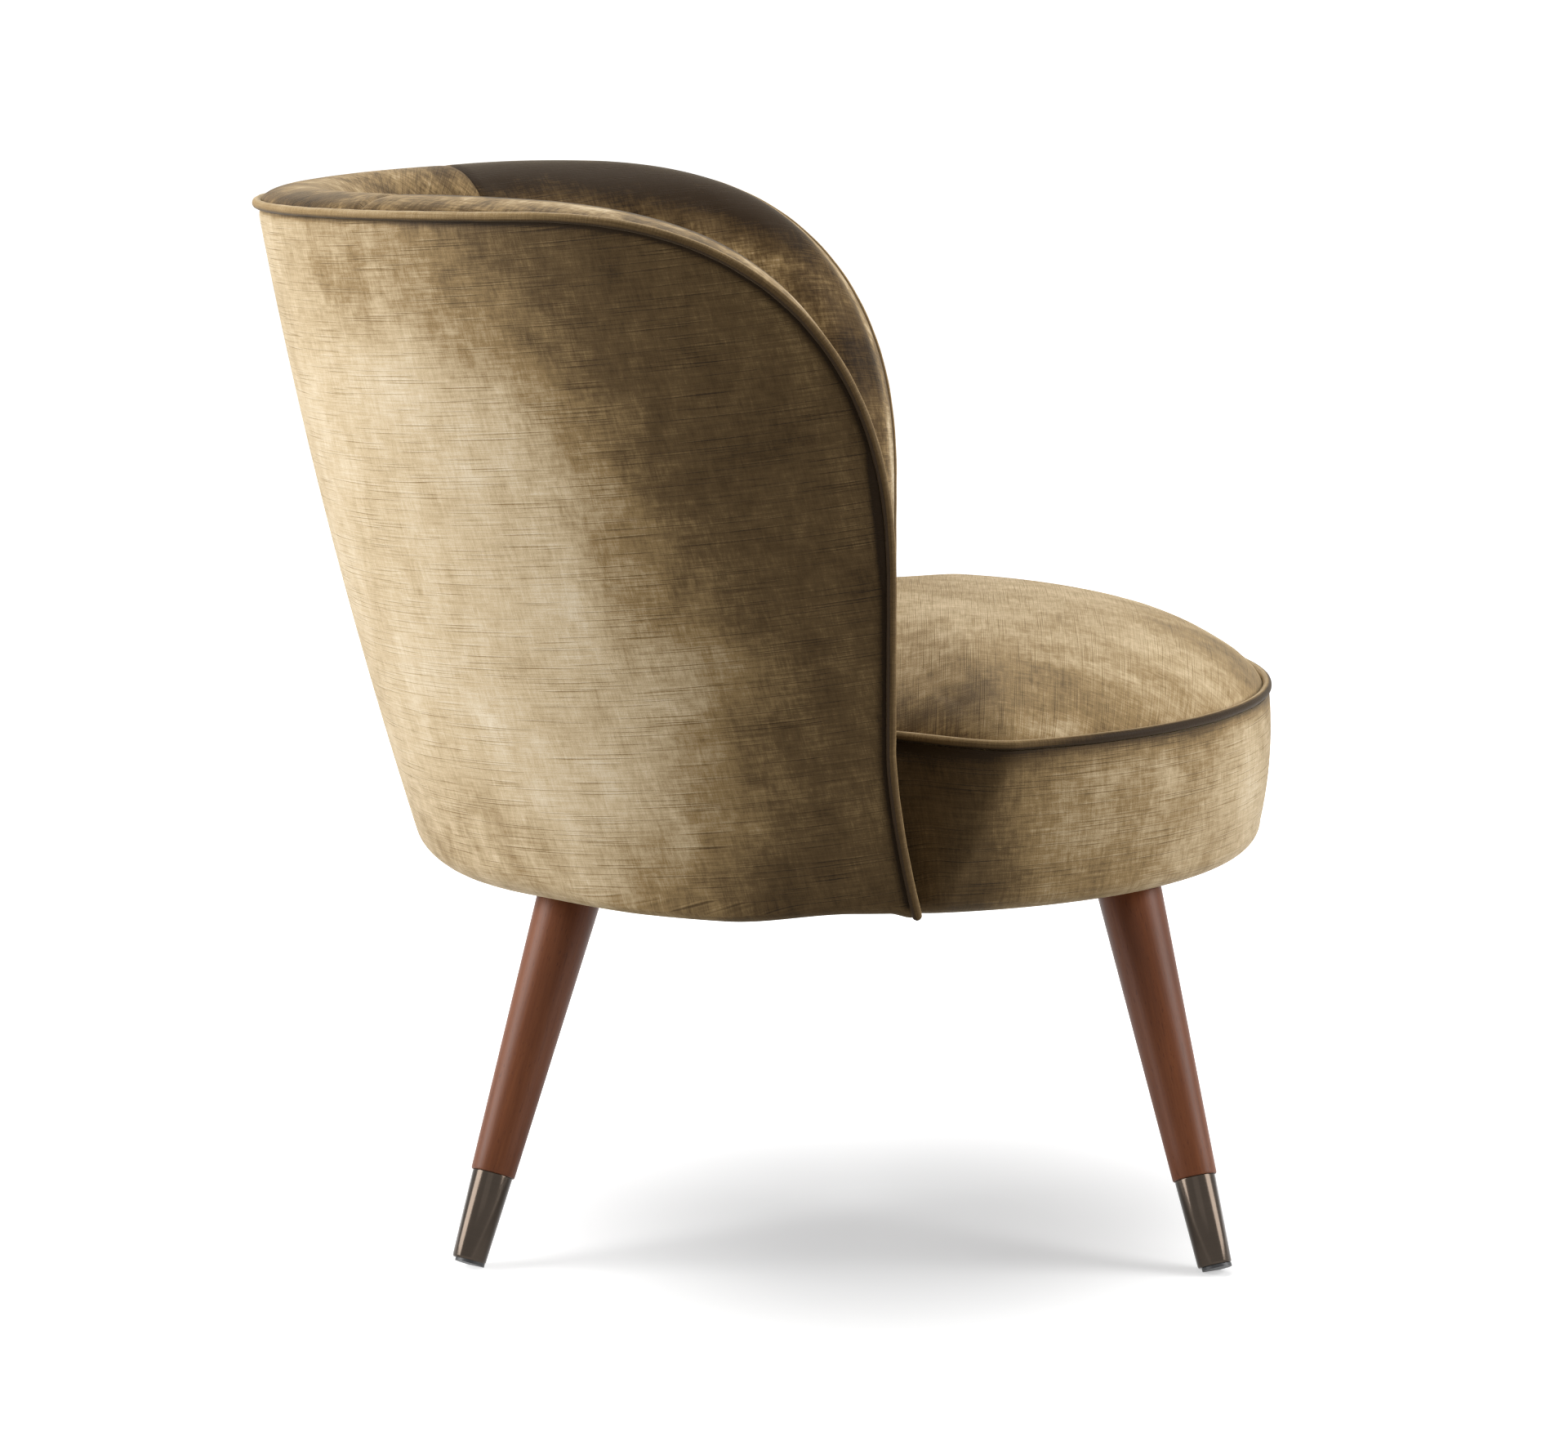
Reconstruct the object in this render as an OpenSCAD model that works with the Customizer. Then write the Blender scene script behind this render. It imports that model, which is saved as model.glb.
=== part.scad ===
// Tub easy chair: a round drum seat, a bent plywood back that leans out from it,
// velvet covers with piped edges, and four splayed beech legs with metal ferrules.
// Millimetres. The front faces -Y and +Z is up. The modules count from the floor under
// the middle of the drum, with angles from the back, +Y. placed() then moves each piece so
// that the origin is on the floor under the middle of the whole chair.

/* [Seat] */
// Height of the underside above the floor
underside_h = 240; // [215:1:265]
// Diameter of the drum over its cover
seat_d = 598; // [585:1:615]
// Height of the drum's side, from the underside to the piping
seat_side_h = 120; // [112:1:130]
// Rise of the seat's crown over the piping
seat_crown = 60; // [45:1:85]
// How far the crown's highest point lies in front of the drum's middle
seat_peak = 30; // [0:1:45]
// How much the drum's side swells at mid height
side_bulge = 6; // [2:0.5:9]
// Radius of the drum's lower edge
seat_corner_r = 22; // [16:1:26]
// Width of the gap between seat and back pad
seat_gap = 4; // [3:0.5:6]

/* [Back] */
// Height of the back's piped rim above the underside
back_rise = 465; // [435:1:500]
// How far the back leans out at the rim
back_lean = 112; // [95:1:135]
// How far the leaning back bows outwards
back_bow = 33; // [15:1:45]
// Width of the back at the rim, over its cover
back_w = 636; // [612:1:650]
// How much further forward the sides stand at the foot than at the rim
side_sweep = 60; // [40:1:75]
// How far the rim sinks towards the middle of the back
rim_dip = 6; // [0:1:16]
// How far the wings reach in front of the drum's middle
wing_front = 34; // [20:1:45]
// How much further the wings reach at their foot
wing_flare = 17; // [6:1:20]
// Length of the rounded corner of a wing, front to back
wing_run = 234; // [190:1:240]
// Height of the rounded corner of a wing
wing_drop = 243; // [200:1:260]
// How square the rounded corner is: 2 makes it a quarter of an ellipse
wing_square = 2.4; // [2:0.05:2.8]
// Radius of the back's lower edge
back_corner_r = 18; // [14:1:20]

/* [Back pad] */
// Thickness of the back at the rim
pad_rim_t = 70; // [60:1:80]
// Thickness of the back at seat height
pad_seat_t = 64; // [58:1:70]
// Thickness of the wings at their foot
pad_foot_t = 17; // [16:0.5:19]
// Rise of the pad over the rim piping
pad_crown = 15; // [9:1:22]
// How far the pad stands in front of the wings' piping
wing_crown = 3; // [2:0.5:6]
// Depth over which the pad rounds off inside the rim
nose_depth = 38; // [30:1:46]
// Extra thickness of the pad at the small of the back
lumbar = 10; // [0:1:18]
// Angle of the seams between the middle panel and the side panels
seam_angle = 42; // [34:1:50]

/* [Covers] */
// Thickness of the velvet
cover_t = 1.6; // [1.2:0.1:2]
// Diameter of the piping
piping_d = 6.5; // [5:0.5:8]
// Thickness of the dust cover
dust_t = 0.8; // [0.5:0.1:1]
// Clearance between soft layers
fit = 0.3; // [0.25:0.05:0.4]

/* [Frame] */
// Thickness of the bent plywood of the back
ply_t = 9; // [8:0.5:9.5]
// Thickness of the two seat rings
ring_t = 18; // [15:1:21]
// Thickness of the foam round the frame's foot
band_t = 32; // [30:1:36]
// Least thickness of the foam between the frame's top edge and the wings
band_thin_t = 4.5; // [4:0.5:7]
// Width of the lower ring, measured inwards
lower_ring_w = 88; // [80:1:96]
// Width of the upper ring, measured inwards
upper_ring_w = 62; // [54:1:66]
// Thickness of the board bent round the rings
board_t = 3; // [2:0.5:4]
// Width of a post between the rings
post_w = 30; // [24:1:34]
// Number of posts on each side of the seat, between two legs
posts_per_side = 2; // [1:1:3]
// Height of a leg block
block_h = 24; // [20:1:26]
// Width of a leg block
block_w = 50; // [44:1:54]

/* [Webbing] */
// Width of a strap
strap_w = 50; // [40:1:54]
// Distance between straps
strap_pitch = 62; // [58:1:66]
// Thickness of a strap
strap_t = 1.2; // [0.8:0.1:1.6]
// Number of straps each way
strap_count = 5; // [3:2:5]

/* [Legs] */
// Diameter of a leg at its top
leg_top_d = 44; // [38:1:48]
// Diameter of a leg where it meets its ferrule
leg_low_d = 30; // [29:0.5:34]
// Distance of a foot from the middle, sideways
foot_x = 262; // [235:1:265]
// Distance of the rear feet behind the middle
rear_foot_y = 253; // [240:1:270]
// Distance of the front feet before the middle
front_foot_y = 249; // [240:1:265]
// Distance of a leg's top inside the frame's foot
leg_in = 13; // [10:1:18]
// Angle of the rear legs' tops, from the side towards the back
rear_leg_turn = 48.3; // [45:0.1:50]
// Angle of the front legs' tops, from the side towards the front
front_leg_turn = 50.1; // [45:0.1:51]
// Length of a ferrule
ferrule_l = 60; // [45:1:75]
// Diameter of a ferrule at its top
ferrule_top_d = 27.6; // [26:0.2:28.6]
// Diameter of a ferrule at its end
ferrule_end_d = 23; // [22:0.5:25]
// Wall of a ferrule
ferrule_wall = 1.2; // [0.8:0.1:1.6]
// How far a glide stands out of its ferrule
glide_proud = 2.2; // [2:0.1:2.8]
// Diameter of a hanger bolt
bolt_d = 8; // [6:1:8]
// Depth of a hanger bolt in its leg
bolt_depth = 38; // [30:1:45]
// Wall of a threaded insert
insert_wall = 2; // [1.5:0.1:2.5]
// Length of a threaded insert
insert_l = 18; // [14:1:20]

/* [Brackets] */
// Thickness of the steel brackets that carry the back
bracket_t = 2.5; // [2:0.1:2.6]
// Width of a bracket
bracket_w = 34; // [26:1:40]
// Height of a bracket's upright
bracket_h = 46; // [38:1:54]
// Angle of the side brackets
bracket_angle = 72; // [66:1:78]
// Diameter of the bracket screws
screw_d = 4.5; // [4:0.5:5]
// Height of the heads of the screws in the plywood
screw_head_t = 2; // [1.6:0.1:2.4]

/* [Hidden] */
$fn = 48;

// Finish colours
velvet = "#8f7852";
velvet_dark = "#6b5738";
foam_colour = "#e6dcb8";
ply_colour = "#d8b98a";
beech = "#7a4a35";
gunmetal = "#5e534c";
steel = "#a9abad";
black = "#2b2b2b";
jute = "#b59a6a";

// Heights of the layers under the seat, from the floor up
dust_z = underside_h + fit;
back_base = underside_h - fit;
bracket_z = back_base + cover_t + fit;
band_base = bracket_z + bracket_t + fit;
ring_z = band_base + cover_t + fit;
seat_z = underside_h + seat_side_h;
foam_drop = 5;
web_space = 7;
wing_foot_rise = 8;
foam_z = seat_z - piping_d / 2 - foam_drop;
frame_top = foam_z - web_space;
rim_z = underside_h + back_rise;
corner_z = rim_z - wing_drop;
wing_foot_z = back_base + wing_foot_rise;
ply_foot = back_base + back_corner_r;

// Radii
seat_r = seat_d / 2;
back_foot_r = seat_r + 4;
piping_r = piping_d / 2;
ply_out = cover_t + fit;
ply_in = ply_out + ply_t;
ply_edge = 10;
ply_gap = 3;
pad_start = piping_r + 1.5 * fit;
piping_e = 1;
skin_edge = piping_e + piping_r + fit;

// Small helpers
function mix(a, b, k) = a + (b - a) * k;
function clip(k) = min(max(k, 0), 1);
function smooth(k) = let (c = clip(k)) c * c * (3 - 2 * c);
function unit(v) = v / norm(v);
function flip(list) = [for (i = [len(list) - 1:-1:0]) list[i]];

// The back's outer face: an oval that grows and moves back as it rises.
// d is the distance inwards from the outer face.
function rise(z) = (z - underside_h) / back_rise;
function oval_y(z) = side_sweep * rise(z);
function oval_w(z) = mix(back_foot_r, back_w / 2, rise(z));
function oval_l(z) =
    back_foot_r + (back_lean + back_bow) * rise(z) - back_bow * pow(rise(z), 2) - oval_y(z);
function on_back(t, z, d) =
    [(oval_w(z) - d) * sin(t), oval_y(z) + (oval_l(z) - d) * cos(t), z];
function angle_at(y, z) = acos((y - oval_y(z)) / oval_l(z));

// Front edge of a wing, and the angle at which it lies
function edge_y(z) =
    -wing_front - wing_flare * pow(clip((seat_z - z) / seat_side_h), 1.5);
function edge_angle(z) = angle_at(edge_y(z), z);
level_end = angle_at(wing_run - wing_front, rim_z);
function rim_height(t) = rim_z - rim_dip * (cos(t) - cos(level_end)) / (1 - cos(level_end));

// The crown fades out along the wing's corner, by shares of the corner's length
crown_from = 0.59;
crown_over = 0.82;
function crown_at(y) = mix(wing_crown, pad_crown,
    smooth(((y + wing_front) / wing_run - crown_from) / crown_over));
// A station on the rim is [angle, height, forward share, upward share, crown].
// It goes level round the back, down a rounded corner, and down the wing's front.
function level_station(t) = [t, rim_height(t), 0, 1,
    crown_at(oval_y(rim_z) + oval_l(rim_z) * cos(t))];
function corner_station(a) =
    let (z = corner_z + wing_drop * pow(cos(a), 2 / wing_square),
        y = wing_run * (1 - pow(sin(a), 2 / wing_square)) - wing_front)
    [angle_at(y, z), z, sin(a), cos(a), crown_at(y)];
function front_station(z) = [edge_angle(z), z, 1, 0, wing_crown];
function mirrored(s) = [-s[0], s[1], -s[2], s[3], s[4]];

seam_steps = 5;
level_steps = 3;
corner_steps = 8;
front_steps = 6;
upper_half = concat(
    [for (i = [0:seam_steps]) level_station(seam_angle * i / seam_steps)],
    [for (i = [1:level_steps - 1]) level_station(mix(seam_angle, level_end, i / level_steps))],
    [for (i = [0:corner_steps]) corner_station(90 * i / corner_steps)]);
rim_half = concat(upper_half,
    [for (i = [1:front_steps]) front_station(mix(corner_z, wing_foot_z, i / front_steps))]);
rim_last = len(rim_half) - 1;
rim = concat([for (i = [rim_last:-1:1]) mirrored(rim_half[i])], rim_half);
upper_last = len(upper_half) - 1;
upper_rim = concat([for (i = [upper_last:-1:1]) mirrored(upper_half[i])], upper_half);

// A point that lies e inside the rim at a station, d deep
function inside_rim(s, e, d) =
    let (z = s[1] - e * s[3], t = s[0] - e * s[2] / seat_r * 180 / PI)
    on_back(t, z, d);

// Depth of the pad's inner face: thin at the wings' foot, full from the seat up
function pad_depth(t, z) =
    let (up = clip((z - seat_z) / (rim_z - seat_z)), low = clip((z - underside_h) / seat_side_h))
    mix(pad_foot_t, mix(pad_seat_t, pad_rim_t, up), pow(low, 1.3))
    + lumbar * pow(cos(t), 2) * sin(180 * up);
nose_share = 0.55;
function nose_at(s) = min(nose_depth, max(nose_share * pad_depth(s[0], s[1]), ply_edge + ply_gap));

// Where the line that runs down the pad from each station ends
tail_gap = 2.5;
tail_angle = edge_angle(wing_foot_z) - (ply_edge + ply_gap) / seat_r * 180 / PI - tail_gap;
pad_tuck = 62;
tuck_start = 78;
tuck_turn = 14;
function tail_z(t) =
    mix(seat_z - pad_tuck, wing_foot_z, smooth((abs(t) - tuck_start) / tuck_turn));
function tail_t(i) = let (k = i - rim_last, a = abs(k), s = k < 0 ? -1 : 1)
    a <= seam_steps ? seam_angle * k / seam_steps
    : s * mix(seam_angle, tail_angle, (a - seam_steps) / (rim_last - seam_steps));

nose_steps = 3;
face_steps = 5;
// One line over the pad: outer flank, crown, inner flank, then down the inner face.
// off is the distance under the cover's outer face.
function pad_line(i, off) =
    let (s = rim[i], e0 = nose_at(s), c = s[4],
        t0 = s[0] - e0 * s[2] / seat_r * 180 / PI, z0 = s[1] - e0 * s[3],
        deep = pad_depth(t0, z0), mid = (pad_start + deep) / 2)
    concat(
        [for (k = [0:nose_steps]) let (a = 90 * k / nose_steps)
            inside_rim(s, off - c * sin(a), mid - (mid - pad_start) * cos(a))],
        [for (k = [1:nose_steps]) let (a = 90 + 90 * k / nose_steps)
            inside_rim(s, mix(e0, off - c, sin(a)), mid - (deep - off - mid) * cos(a))],
        [for (k = [1:face_steps]) let (f = k / face_steps,
            t = mix(t0, tail_t(i), f), z = mix(z0, tail_z(tail_t(i)), f))
            on_back(t, z, pad_depth(t, z) - off)]);
// The same line on the plywood's side: over its edge, then down its inner face.
// The plywood is drawn in flat facets, which stand in from its curve by facet_in.
facet_angle = max(seam_angle / seam_steps, (level_end - seam_angle) / level_steps) / 2;
facet_in = back_w / 2 * (1 - cos(facet_angle));
function ply_line(i) =
    let (s = rim[i], e0 = nose_at(s), d1 = ply_out, e1 = ply_edge - fit,
        d2 = ply_in + fit + facet_in,
        t0 = s[0] - e0 * s[2] / seat_r * 180 / PI, z0 = s[1] - e0 * s[3])
    concat(
        [for (k = [0:nose_steps]) inside_rim(s, e1, mix(d1, d2, k / nose_steps))],
        [for (k = [1:nose_steps]) inside_rim(s, mix(e1, e0, k / nose_steps), d2)],
        [for (k = [1:face_steps]) let (f = k / face_steps)
            on_back(mix(t0, tail_t(i), f), mix(z0, tail_z(tail_t(i)), f), d2)]);

// A closed solid between two grids of points, face and rear, of the same size
function quad(a, b, c, d) = [[a, b, c], [a, c, d]];
module between(face, rear) {
    m = len(face);
    n = len(face[0]);
    w = m * n;
    function at(i, j) = i * n + j;
    sides = [for (i = [0:m - 2], j = [0:n - 2], q = [0, 1])
        q == 0 ? quad(at(i, j), at(i, j + 1), at(i + 1, j + 1), at(i + 1, j))
        : quad(w + at(i, j), w + at(i + 1, j), w + at(i + 1, j + 1), w + at(i, j + 1))];
    ends = [for (j = [0:n - 2], q = [0, 1])
        q == 0 ? quad(at(0, j), w + at(0, j), w + at(0, j + 1), at(0, j + 1))
        : quad(at(m - 1, j), at(m - 1, j + 1), w + at(m - 1, j + 1), w + at(m - 1, j))];
    rims = [for (i = [0:m - 2], q = [0, 1])
        q == 0 ? quad(at(i, 0), at(i + 1, 0), w + at(i + 1, 0), w + at(i, 0))
        : quad(at(i, n - 1), w + at(i, n - 1), w + at(i + 1, n - 1), at(i + 1, n - 1))];
    polyhedron(points = [for (g = [face, rear], line = g, p = line) p],
        faces = [for (s = [sides, ends, rims], pair = s, f = pair) f]);
}

// A closed ring of sections: each section is a closed loop of points.
// turned splits each face along its other diagonal, so that it lies flat on a neighbour.
module ring_of(sections, turned = false) {
    m = len(sections);
    n = len(sections[0]);
    polyhedron(points = [for (s = sections, p = s) p],
        faces = [for (i = [0:m - 1], j = [0:n - 1],
            f = let (k = (i + 1) % m, l = (j + 1) % n)
                turned ? quad(i * n + l, k * n + l, k * n + j, i * n + j)
                : quad(i * n + j, i * n + l, k * n + l, k * n + j)) f]);
}

// A round tube along a path, with square ends unless it closes on itself.
// outs holds, for each point, a direction away from the chair's middle.
function ring_points(p, along, out, r, sides) =
    let (v = unit(along), u = unit(out - (out * v) * v), w = cross(u, v))
    [for (k = [0:sides - 1]) p + r * (cos(360 * k / sides) * u + sin(360 * k / sides) * w)];
module tube(path, outs, r, closed, sides = 8) {
    n = len(path);
    rings = [for (i = [0:n - 1])
        let (a = closed ? path[(i + n - 1) % n] : path[max(i - 1, 0)],
            b = closed ? path[(i + 1) % n] : path[min(i + 1, n - 1)])
        ring_points(path[i], b - a, outs[i], r, sides)];
    last = closed ? n - 1 : n - 2;
    walls = [for (i = [0:last], j = [0:sides - 1],
        f = let (k = (i + 1) % n, l = (j + 1) % sides)
            quad(i * sides + j, i * sides + l, k * sides + l, k * sides + j)) f];
    caps = closed ? [] : [for (j = [1:sides - 2])
        each [[0, j + 1, j], [(n - 1) * sides, (n - 1) * sides + j, (n - 1) * sides + j + 1]]];
    polyhedron(points = [for (r = rings, p = r) p], faces = concat(walls, caps));
}

// The seat's outline: round in front, drawn in between the wings behind.
// Its columns lie closer together where it draws in.
neck_start = 97.5;
neck_end = 116;
rear_step = neck_start / 7;
seat_angles = concat(
    [for (i = [0:13]) -neck_start + i * rear_step],
    [for (i = [0:5]) mix(neck_start, neck_end, i / 6)],
    [for (i = [0:11]) mix(neck_end, 360 - neck_end, i / 12)],
    [for (i = [0:5]) mix(360 - neck_end, 360 - neck_start, i / 6)]);
bulge_drop = 35;
bulge_half = 60;
function side_r(z) = let (low = band_base + seat_corner_r)
    seat_r - side_bulge * pow((max(z, low) - seat_z + bulge_drop) / bulge_half, 2);
function from_back(t) = t > 180 ? 360 - t : abs(t);
neck_low = 5;
neck_high = 11;
function neck(t, z) = smooth((from_back(t) - neck_start)
    / mix(neck_low, neck_high, clip((z - underside_h) / seat_side_h)));
function outline(t, z, inset) =
    let (k = neck(t, z), r = side_r(z), q = on_back(t, z, pad_depth(t, z) + seat_gap))
    [mix(q[0], r * sin(t), k) - inset * sin(t), mix(q[1], r * cos(t), k) - inset * cos(t), z];
rear_corner_r = 8;
function corner_r(t) = mix(rear_corner_r, seat_corner_r, neck(t, band_base));

// One line up the drum's side: hem, rounded lower edge, then the swelling side
hem_w = 12;
side_steps = 4;
band_top = seat_z - piping_r - fit;
function corner_point(t, a, off) = let (r = corner_r(t), q = r - off)
    outline(t, band_base + r - q * sin(a), r - q * cos(a));
function side_point(t, off, k) =
    outline(t, mix(band_base + corner_r(t), band_top, k / side_steps), off);
function side_points(t, off, top) =
    let (p = side_point(t, off, side_steps - 1), q = side_point(t, off, side_steps))
    concat([for (k = [1:side_steps - 1]) side_point(t, off, k)],
        [mix(p, q, (top - p[2]) / (q[2] - p[2]))]);
function band_line(t, off) = concat(
    [let (p = outline(t, band_base + off, corner_r(t) + hem_w)) p],
    [for (a = [90:-30:0]) corner_point(t, a, off)],
    side_points(t, off, band_top));

// The frame's side is a cone that narrows upwards, to clear the wings at its top
frame_r = seat_r - band_t - board_t;
frame_top_r = oval_w(frame_top) - pad_depth(90, frame_top) - seat_gap
    - cover_t - band_thin_t - board_t;
function frame_at(z) = mix(frame_r, frame_top_r, (z - ring_z) / (frame_top - ring_z));

// The seat's piping lies a little inside the outline
piping_in = 1;

// The seat's dome: k is 0 in the middle and 1 at the edge
dome_flat = 3.3;
dome_round = 0.78;
function dome_z(k) = seat_z + seat_crown * pow(1 - pow(k, dome_flat), dome_round);
dome_rings = [1, 0.985, 0.95, 0.89, 0.8, 0.68, 0.52, 0.34, 0.16];
neck_slant = 12;
dome_slope = 0.8;
function dome_point(t, k, off) =
    let (n = neck(t, seat_z), slant = neck_slant * n * (1 - n),
        p = outline(t, seat_z, piping_in + piping_r + fit + slant + off * dome_slope))
    [p[0] * k, p[1] * k - seat_peak * (1 - k * k), max(dome_z(k) - off, seat_z - 0.5 * off)];

// A dome closed by a pole on top and one below, from loops of points going inwards
module dome(upper, lower, top, low) {
    n = len(upper[0]);
    m = len(upper);
    q = len(lower);
    pole = (m + q) * n;
    wall = [for (i = [0:m + q - 2], j = [0:n - 1], f = let (l = (j + 1) % n)
        quad(i * n + l, i * n + j, (i + 1) * n + j, (i + 1) * n + l)) f];
    caps = [for (j = [0:n - 1]) let (l = (j + 1) % n)
        each [[j, l, pole], [(m + q - 1) * n + l, (m + q - 1) * n + j, pole + 1]]];
    polyhedron(points = concat([for (s = concat(flip(upper), lower), p = s) p], [top, low]),
        faces = concat(wall, caps));
}

// Legs: sx is -1 on the left, sy is -1 in front
leg_top_r = frame_r - leg_in;
function leg_turn(sy) = sy > 0 ? rear_leg_turn : front_leg_turn;
function foot_y(sy) = sy > 0 ? rear_foot_y : front_foot_y;
function top_x(sy) = leg_top_r * cos(leg_turn(sy));
function top_y(sy) = leg_top_r * sin(leg_turn(sy));
function leg_top(sx, sy) = [sx * top_x(sy), sy * top_y(sy), underside_h];
function leg_lean(sy) = atan(norm([foot_x - top_x(sy), foot_y(sy) - top_y(sy)]) / underside_h);
// Distance from a leg's top to the end of its ferrule
function leg_length(sy) = let (a = leg_lean(sy))
    (underside_h - fit - ferrule_end_d / 2 * sin(a)) / cos(a);
// Puts z = 0 at the middle of a leg's top, with z running down the leg
module down_leg(sx, sy) {
    p = leg_top(sx, sy);
    turn = atan2(sy * (foot_y(sy) - top_y(sy)), sx * (foot_x - top_x(sy)));
    translate(p) rotate([0, 0, turn]) rotate([0, 180 - leg_lean(sy), 0]) children();
}
big = 400;

module leg(sx, sy) {
    wood_l = leg_length(sy) - ferrule_l;
    ext = leg_top_d;
    grow = (leg_top_d - leg_low_d) / 2 / wood_l;
    gap = 0.1;
    color(beech) difference() {
        down_leg(sx, sy) union() {
            translate([0, 0, -ext])
                cylinder(h = wood_l + ext, r1 = leg_top_d / 2 + grow * ext, r2 = leg_low_d / 2);
            cylinder(h = wood_l + ferrule_l - ferrule_wall - 1,
                r = ferrule_end_d / 2 - ferrule_wall - gap);
        }
        translate([-big, -big, underside_h]) cube([2 * big, 2 * big, big]);
        down_leg(sx, sy) translate([0, 0, -ext])
            cylinder(h = ext + bolt_depth + 1, d = bolt_d + hole_gap);
    }
}

module ferrule(sx, sy) {
    wood_l = leg_length(sy) - ferrule_l;
    r1 = ferrule_top_d / 2;
    r2 = ferrule_end_d / 2;
    edge = 0.8;
    color(gunmetal) down_leg(sx, sy) translate([0, 0, wood_l]) rotate_extrude() difference() {
        polygon([[0, 0.1], [r1 - edge / 2, 0.1], [r1, edge], [r2 + 0.1, ferrule_l - edge],
            [r2 - edge, ferrule_l], [0, ferrule_l]]);
        translate([0, -1]) square([r2 - ferrule_wall, ferrule_l - ferrule_wall + 1]);
        translate([0, -1]) square([glide_pin_r + 0.1, ferrule_l + 2]);
    }
}

glide_pin_r = 3;
module glide(sx, sy) {
    end = leg_length(sy);
    color(black) intersection() {
        down_leg(sx, sy) union() {
            translate([0, 0, end + 0.05]) cylinder(h = glide_proud, r = ferrule_end_d / 2 - 1.4);
            translate([0, 0, end - ferrule_wall - 0.5])
                cylinder(h = ferrule_wall + 1, r = glide_pin_r);
        }
        translate([-big, -big, 0]) cube([2 * big, 2 * big, big]);
    }
}

insert_r = bolt_d / 2 + insert_wall;
insert_rise = 4;
hole_gap = 0.2;
function above_ring(sy) = (ring_z + ring_t - underside_h) / cos(leg_lean(sy));
function bolt_up(sy) = above_ring(sy) + insert_l + insert_rise;
module bolt(sx, sy) {
    up = bolt_up(sy);
    color(steel) down_leg(sx, sy) translate([0, 0, -up]) cylinder(h = up + bolt_depth, d = bolt_d);
}

module insert(sx, sy) {
    color(steel) down_leg(sx, sy) translate([0, 0, -bolt_up(sy)]) difference() {
        cylinder(h = insert_l, r = insert_r);
        translate([0, 0, -1]) cylinder(h = insert_l + 2, d = bolt_d + hole_gap);
    }
}

// The block stands on the lower ring and follows the board outside it
module leg_block(sx, sy) {
    z = ring_z + ring_t;
    turn = atan2(sy * top_y(sy), sx * top_x(sy));
    color(ply_colour) difference() {
        intersection() {
            rotate([0, 0, turn]) translate([frame_at(z) - block_w, -block_w / 2, z])
                cube([block_w, block_w, block_h]);
            translate([0, 0, z]) cylinder(h = block_h, r1 = frame_at(z) - fit,
                r2 = frame_at(z + block_h) - fit, $fn = 96);
        }
        down_leg(sx, sy) translate([0, 0, -big / 2]) cylinder(h = big, d = bolt_d + 2 * hole_gap);
        down_leg(sx, sy) translate([0, 0, insert_l - bolt_up(sy) - big])
            cylinder(h = big, r = insert_r + hole_gap / 2);
    }
}

module seat_ring_lower() {
    inner = frame_r - lower_ring_w;
    color(ply_colour) difference() {
        translate([0, 0, ring_z]) cylinder(h = ring_t, r1 = frame_at(ring_z) - 0.2,
            r2 = frame_at(ring_z + ring_t) - 0.2, $fn = 96);
        translate([0, 0, ring_z - 1]) cylinder(h = ring_t + 2, r = inner, $fn = 96);
        for (sx = [-1, 1], sy = [-1, 1])
            down_leg(sx, sy) translate([0, 0, -big / 2]) cylinder(h = big, d = bolt_d + 2 * hole_gap);
        for (a = bracket_angles, r = ring_screw_radii)
            at_angle(bracket_turn(a), r) translate([0, 0, ring_z - 1])
                cylinder(h = ring_screw_l, d = screw_d + hole_gap);
    }
}

module seat_ring_upper() {
    z = frame_top - ring_t;
    inner = frame_top_r - upper_ring_w;
    color(ply_colour) difference() {
        translate([0, 0, z]) cylinder(h = ring_t, r1 = frame_at(z) - 0.2,
            r2 = frame_at(frame_top) - 0.2, $fn = 96);
        translate([0, 0, z - 1]) cylinder(h = ring_t + 2, r = inner, $fn = 96);
    }
}

module seat_frame_posts() {
    low = ring_z + ring_t;
    tall = frame_top - ring_t - low;
    r = frame_top_r - upper_ring_w + post_w / 2 + 2;
    n = posts_per_side;
    color(ply_colour) for (side = [0:3], i = [0:n - 1])
        rotate([0, 0, 90 * side + (n > 1 ? mix(-22.5, 22.5, i / (n - 1)) : 0)])
            translate([r - post_w / 2, -post_w / 2, low]) cube([post_w, post_w, tall]);
}

module seat_band_board() {
    h = frame_top - ring_z;
    color(ply_colour) translate([0, 0, ring_z]) difference() {
        cylinder(h = h, r1 = frame_r + board_t, r2 = frame_top_r + board_t, $fn = 96);
        translate([0, 0, -0.01])
            cylinder(h = h + 0.02, r1 = frame_r, r2 = frame_top_r, $fn = 96);
    }
}

strap_end = 12;
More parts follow.
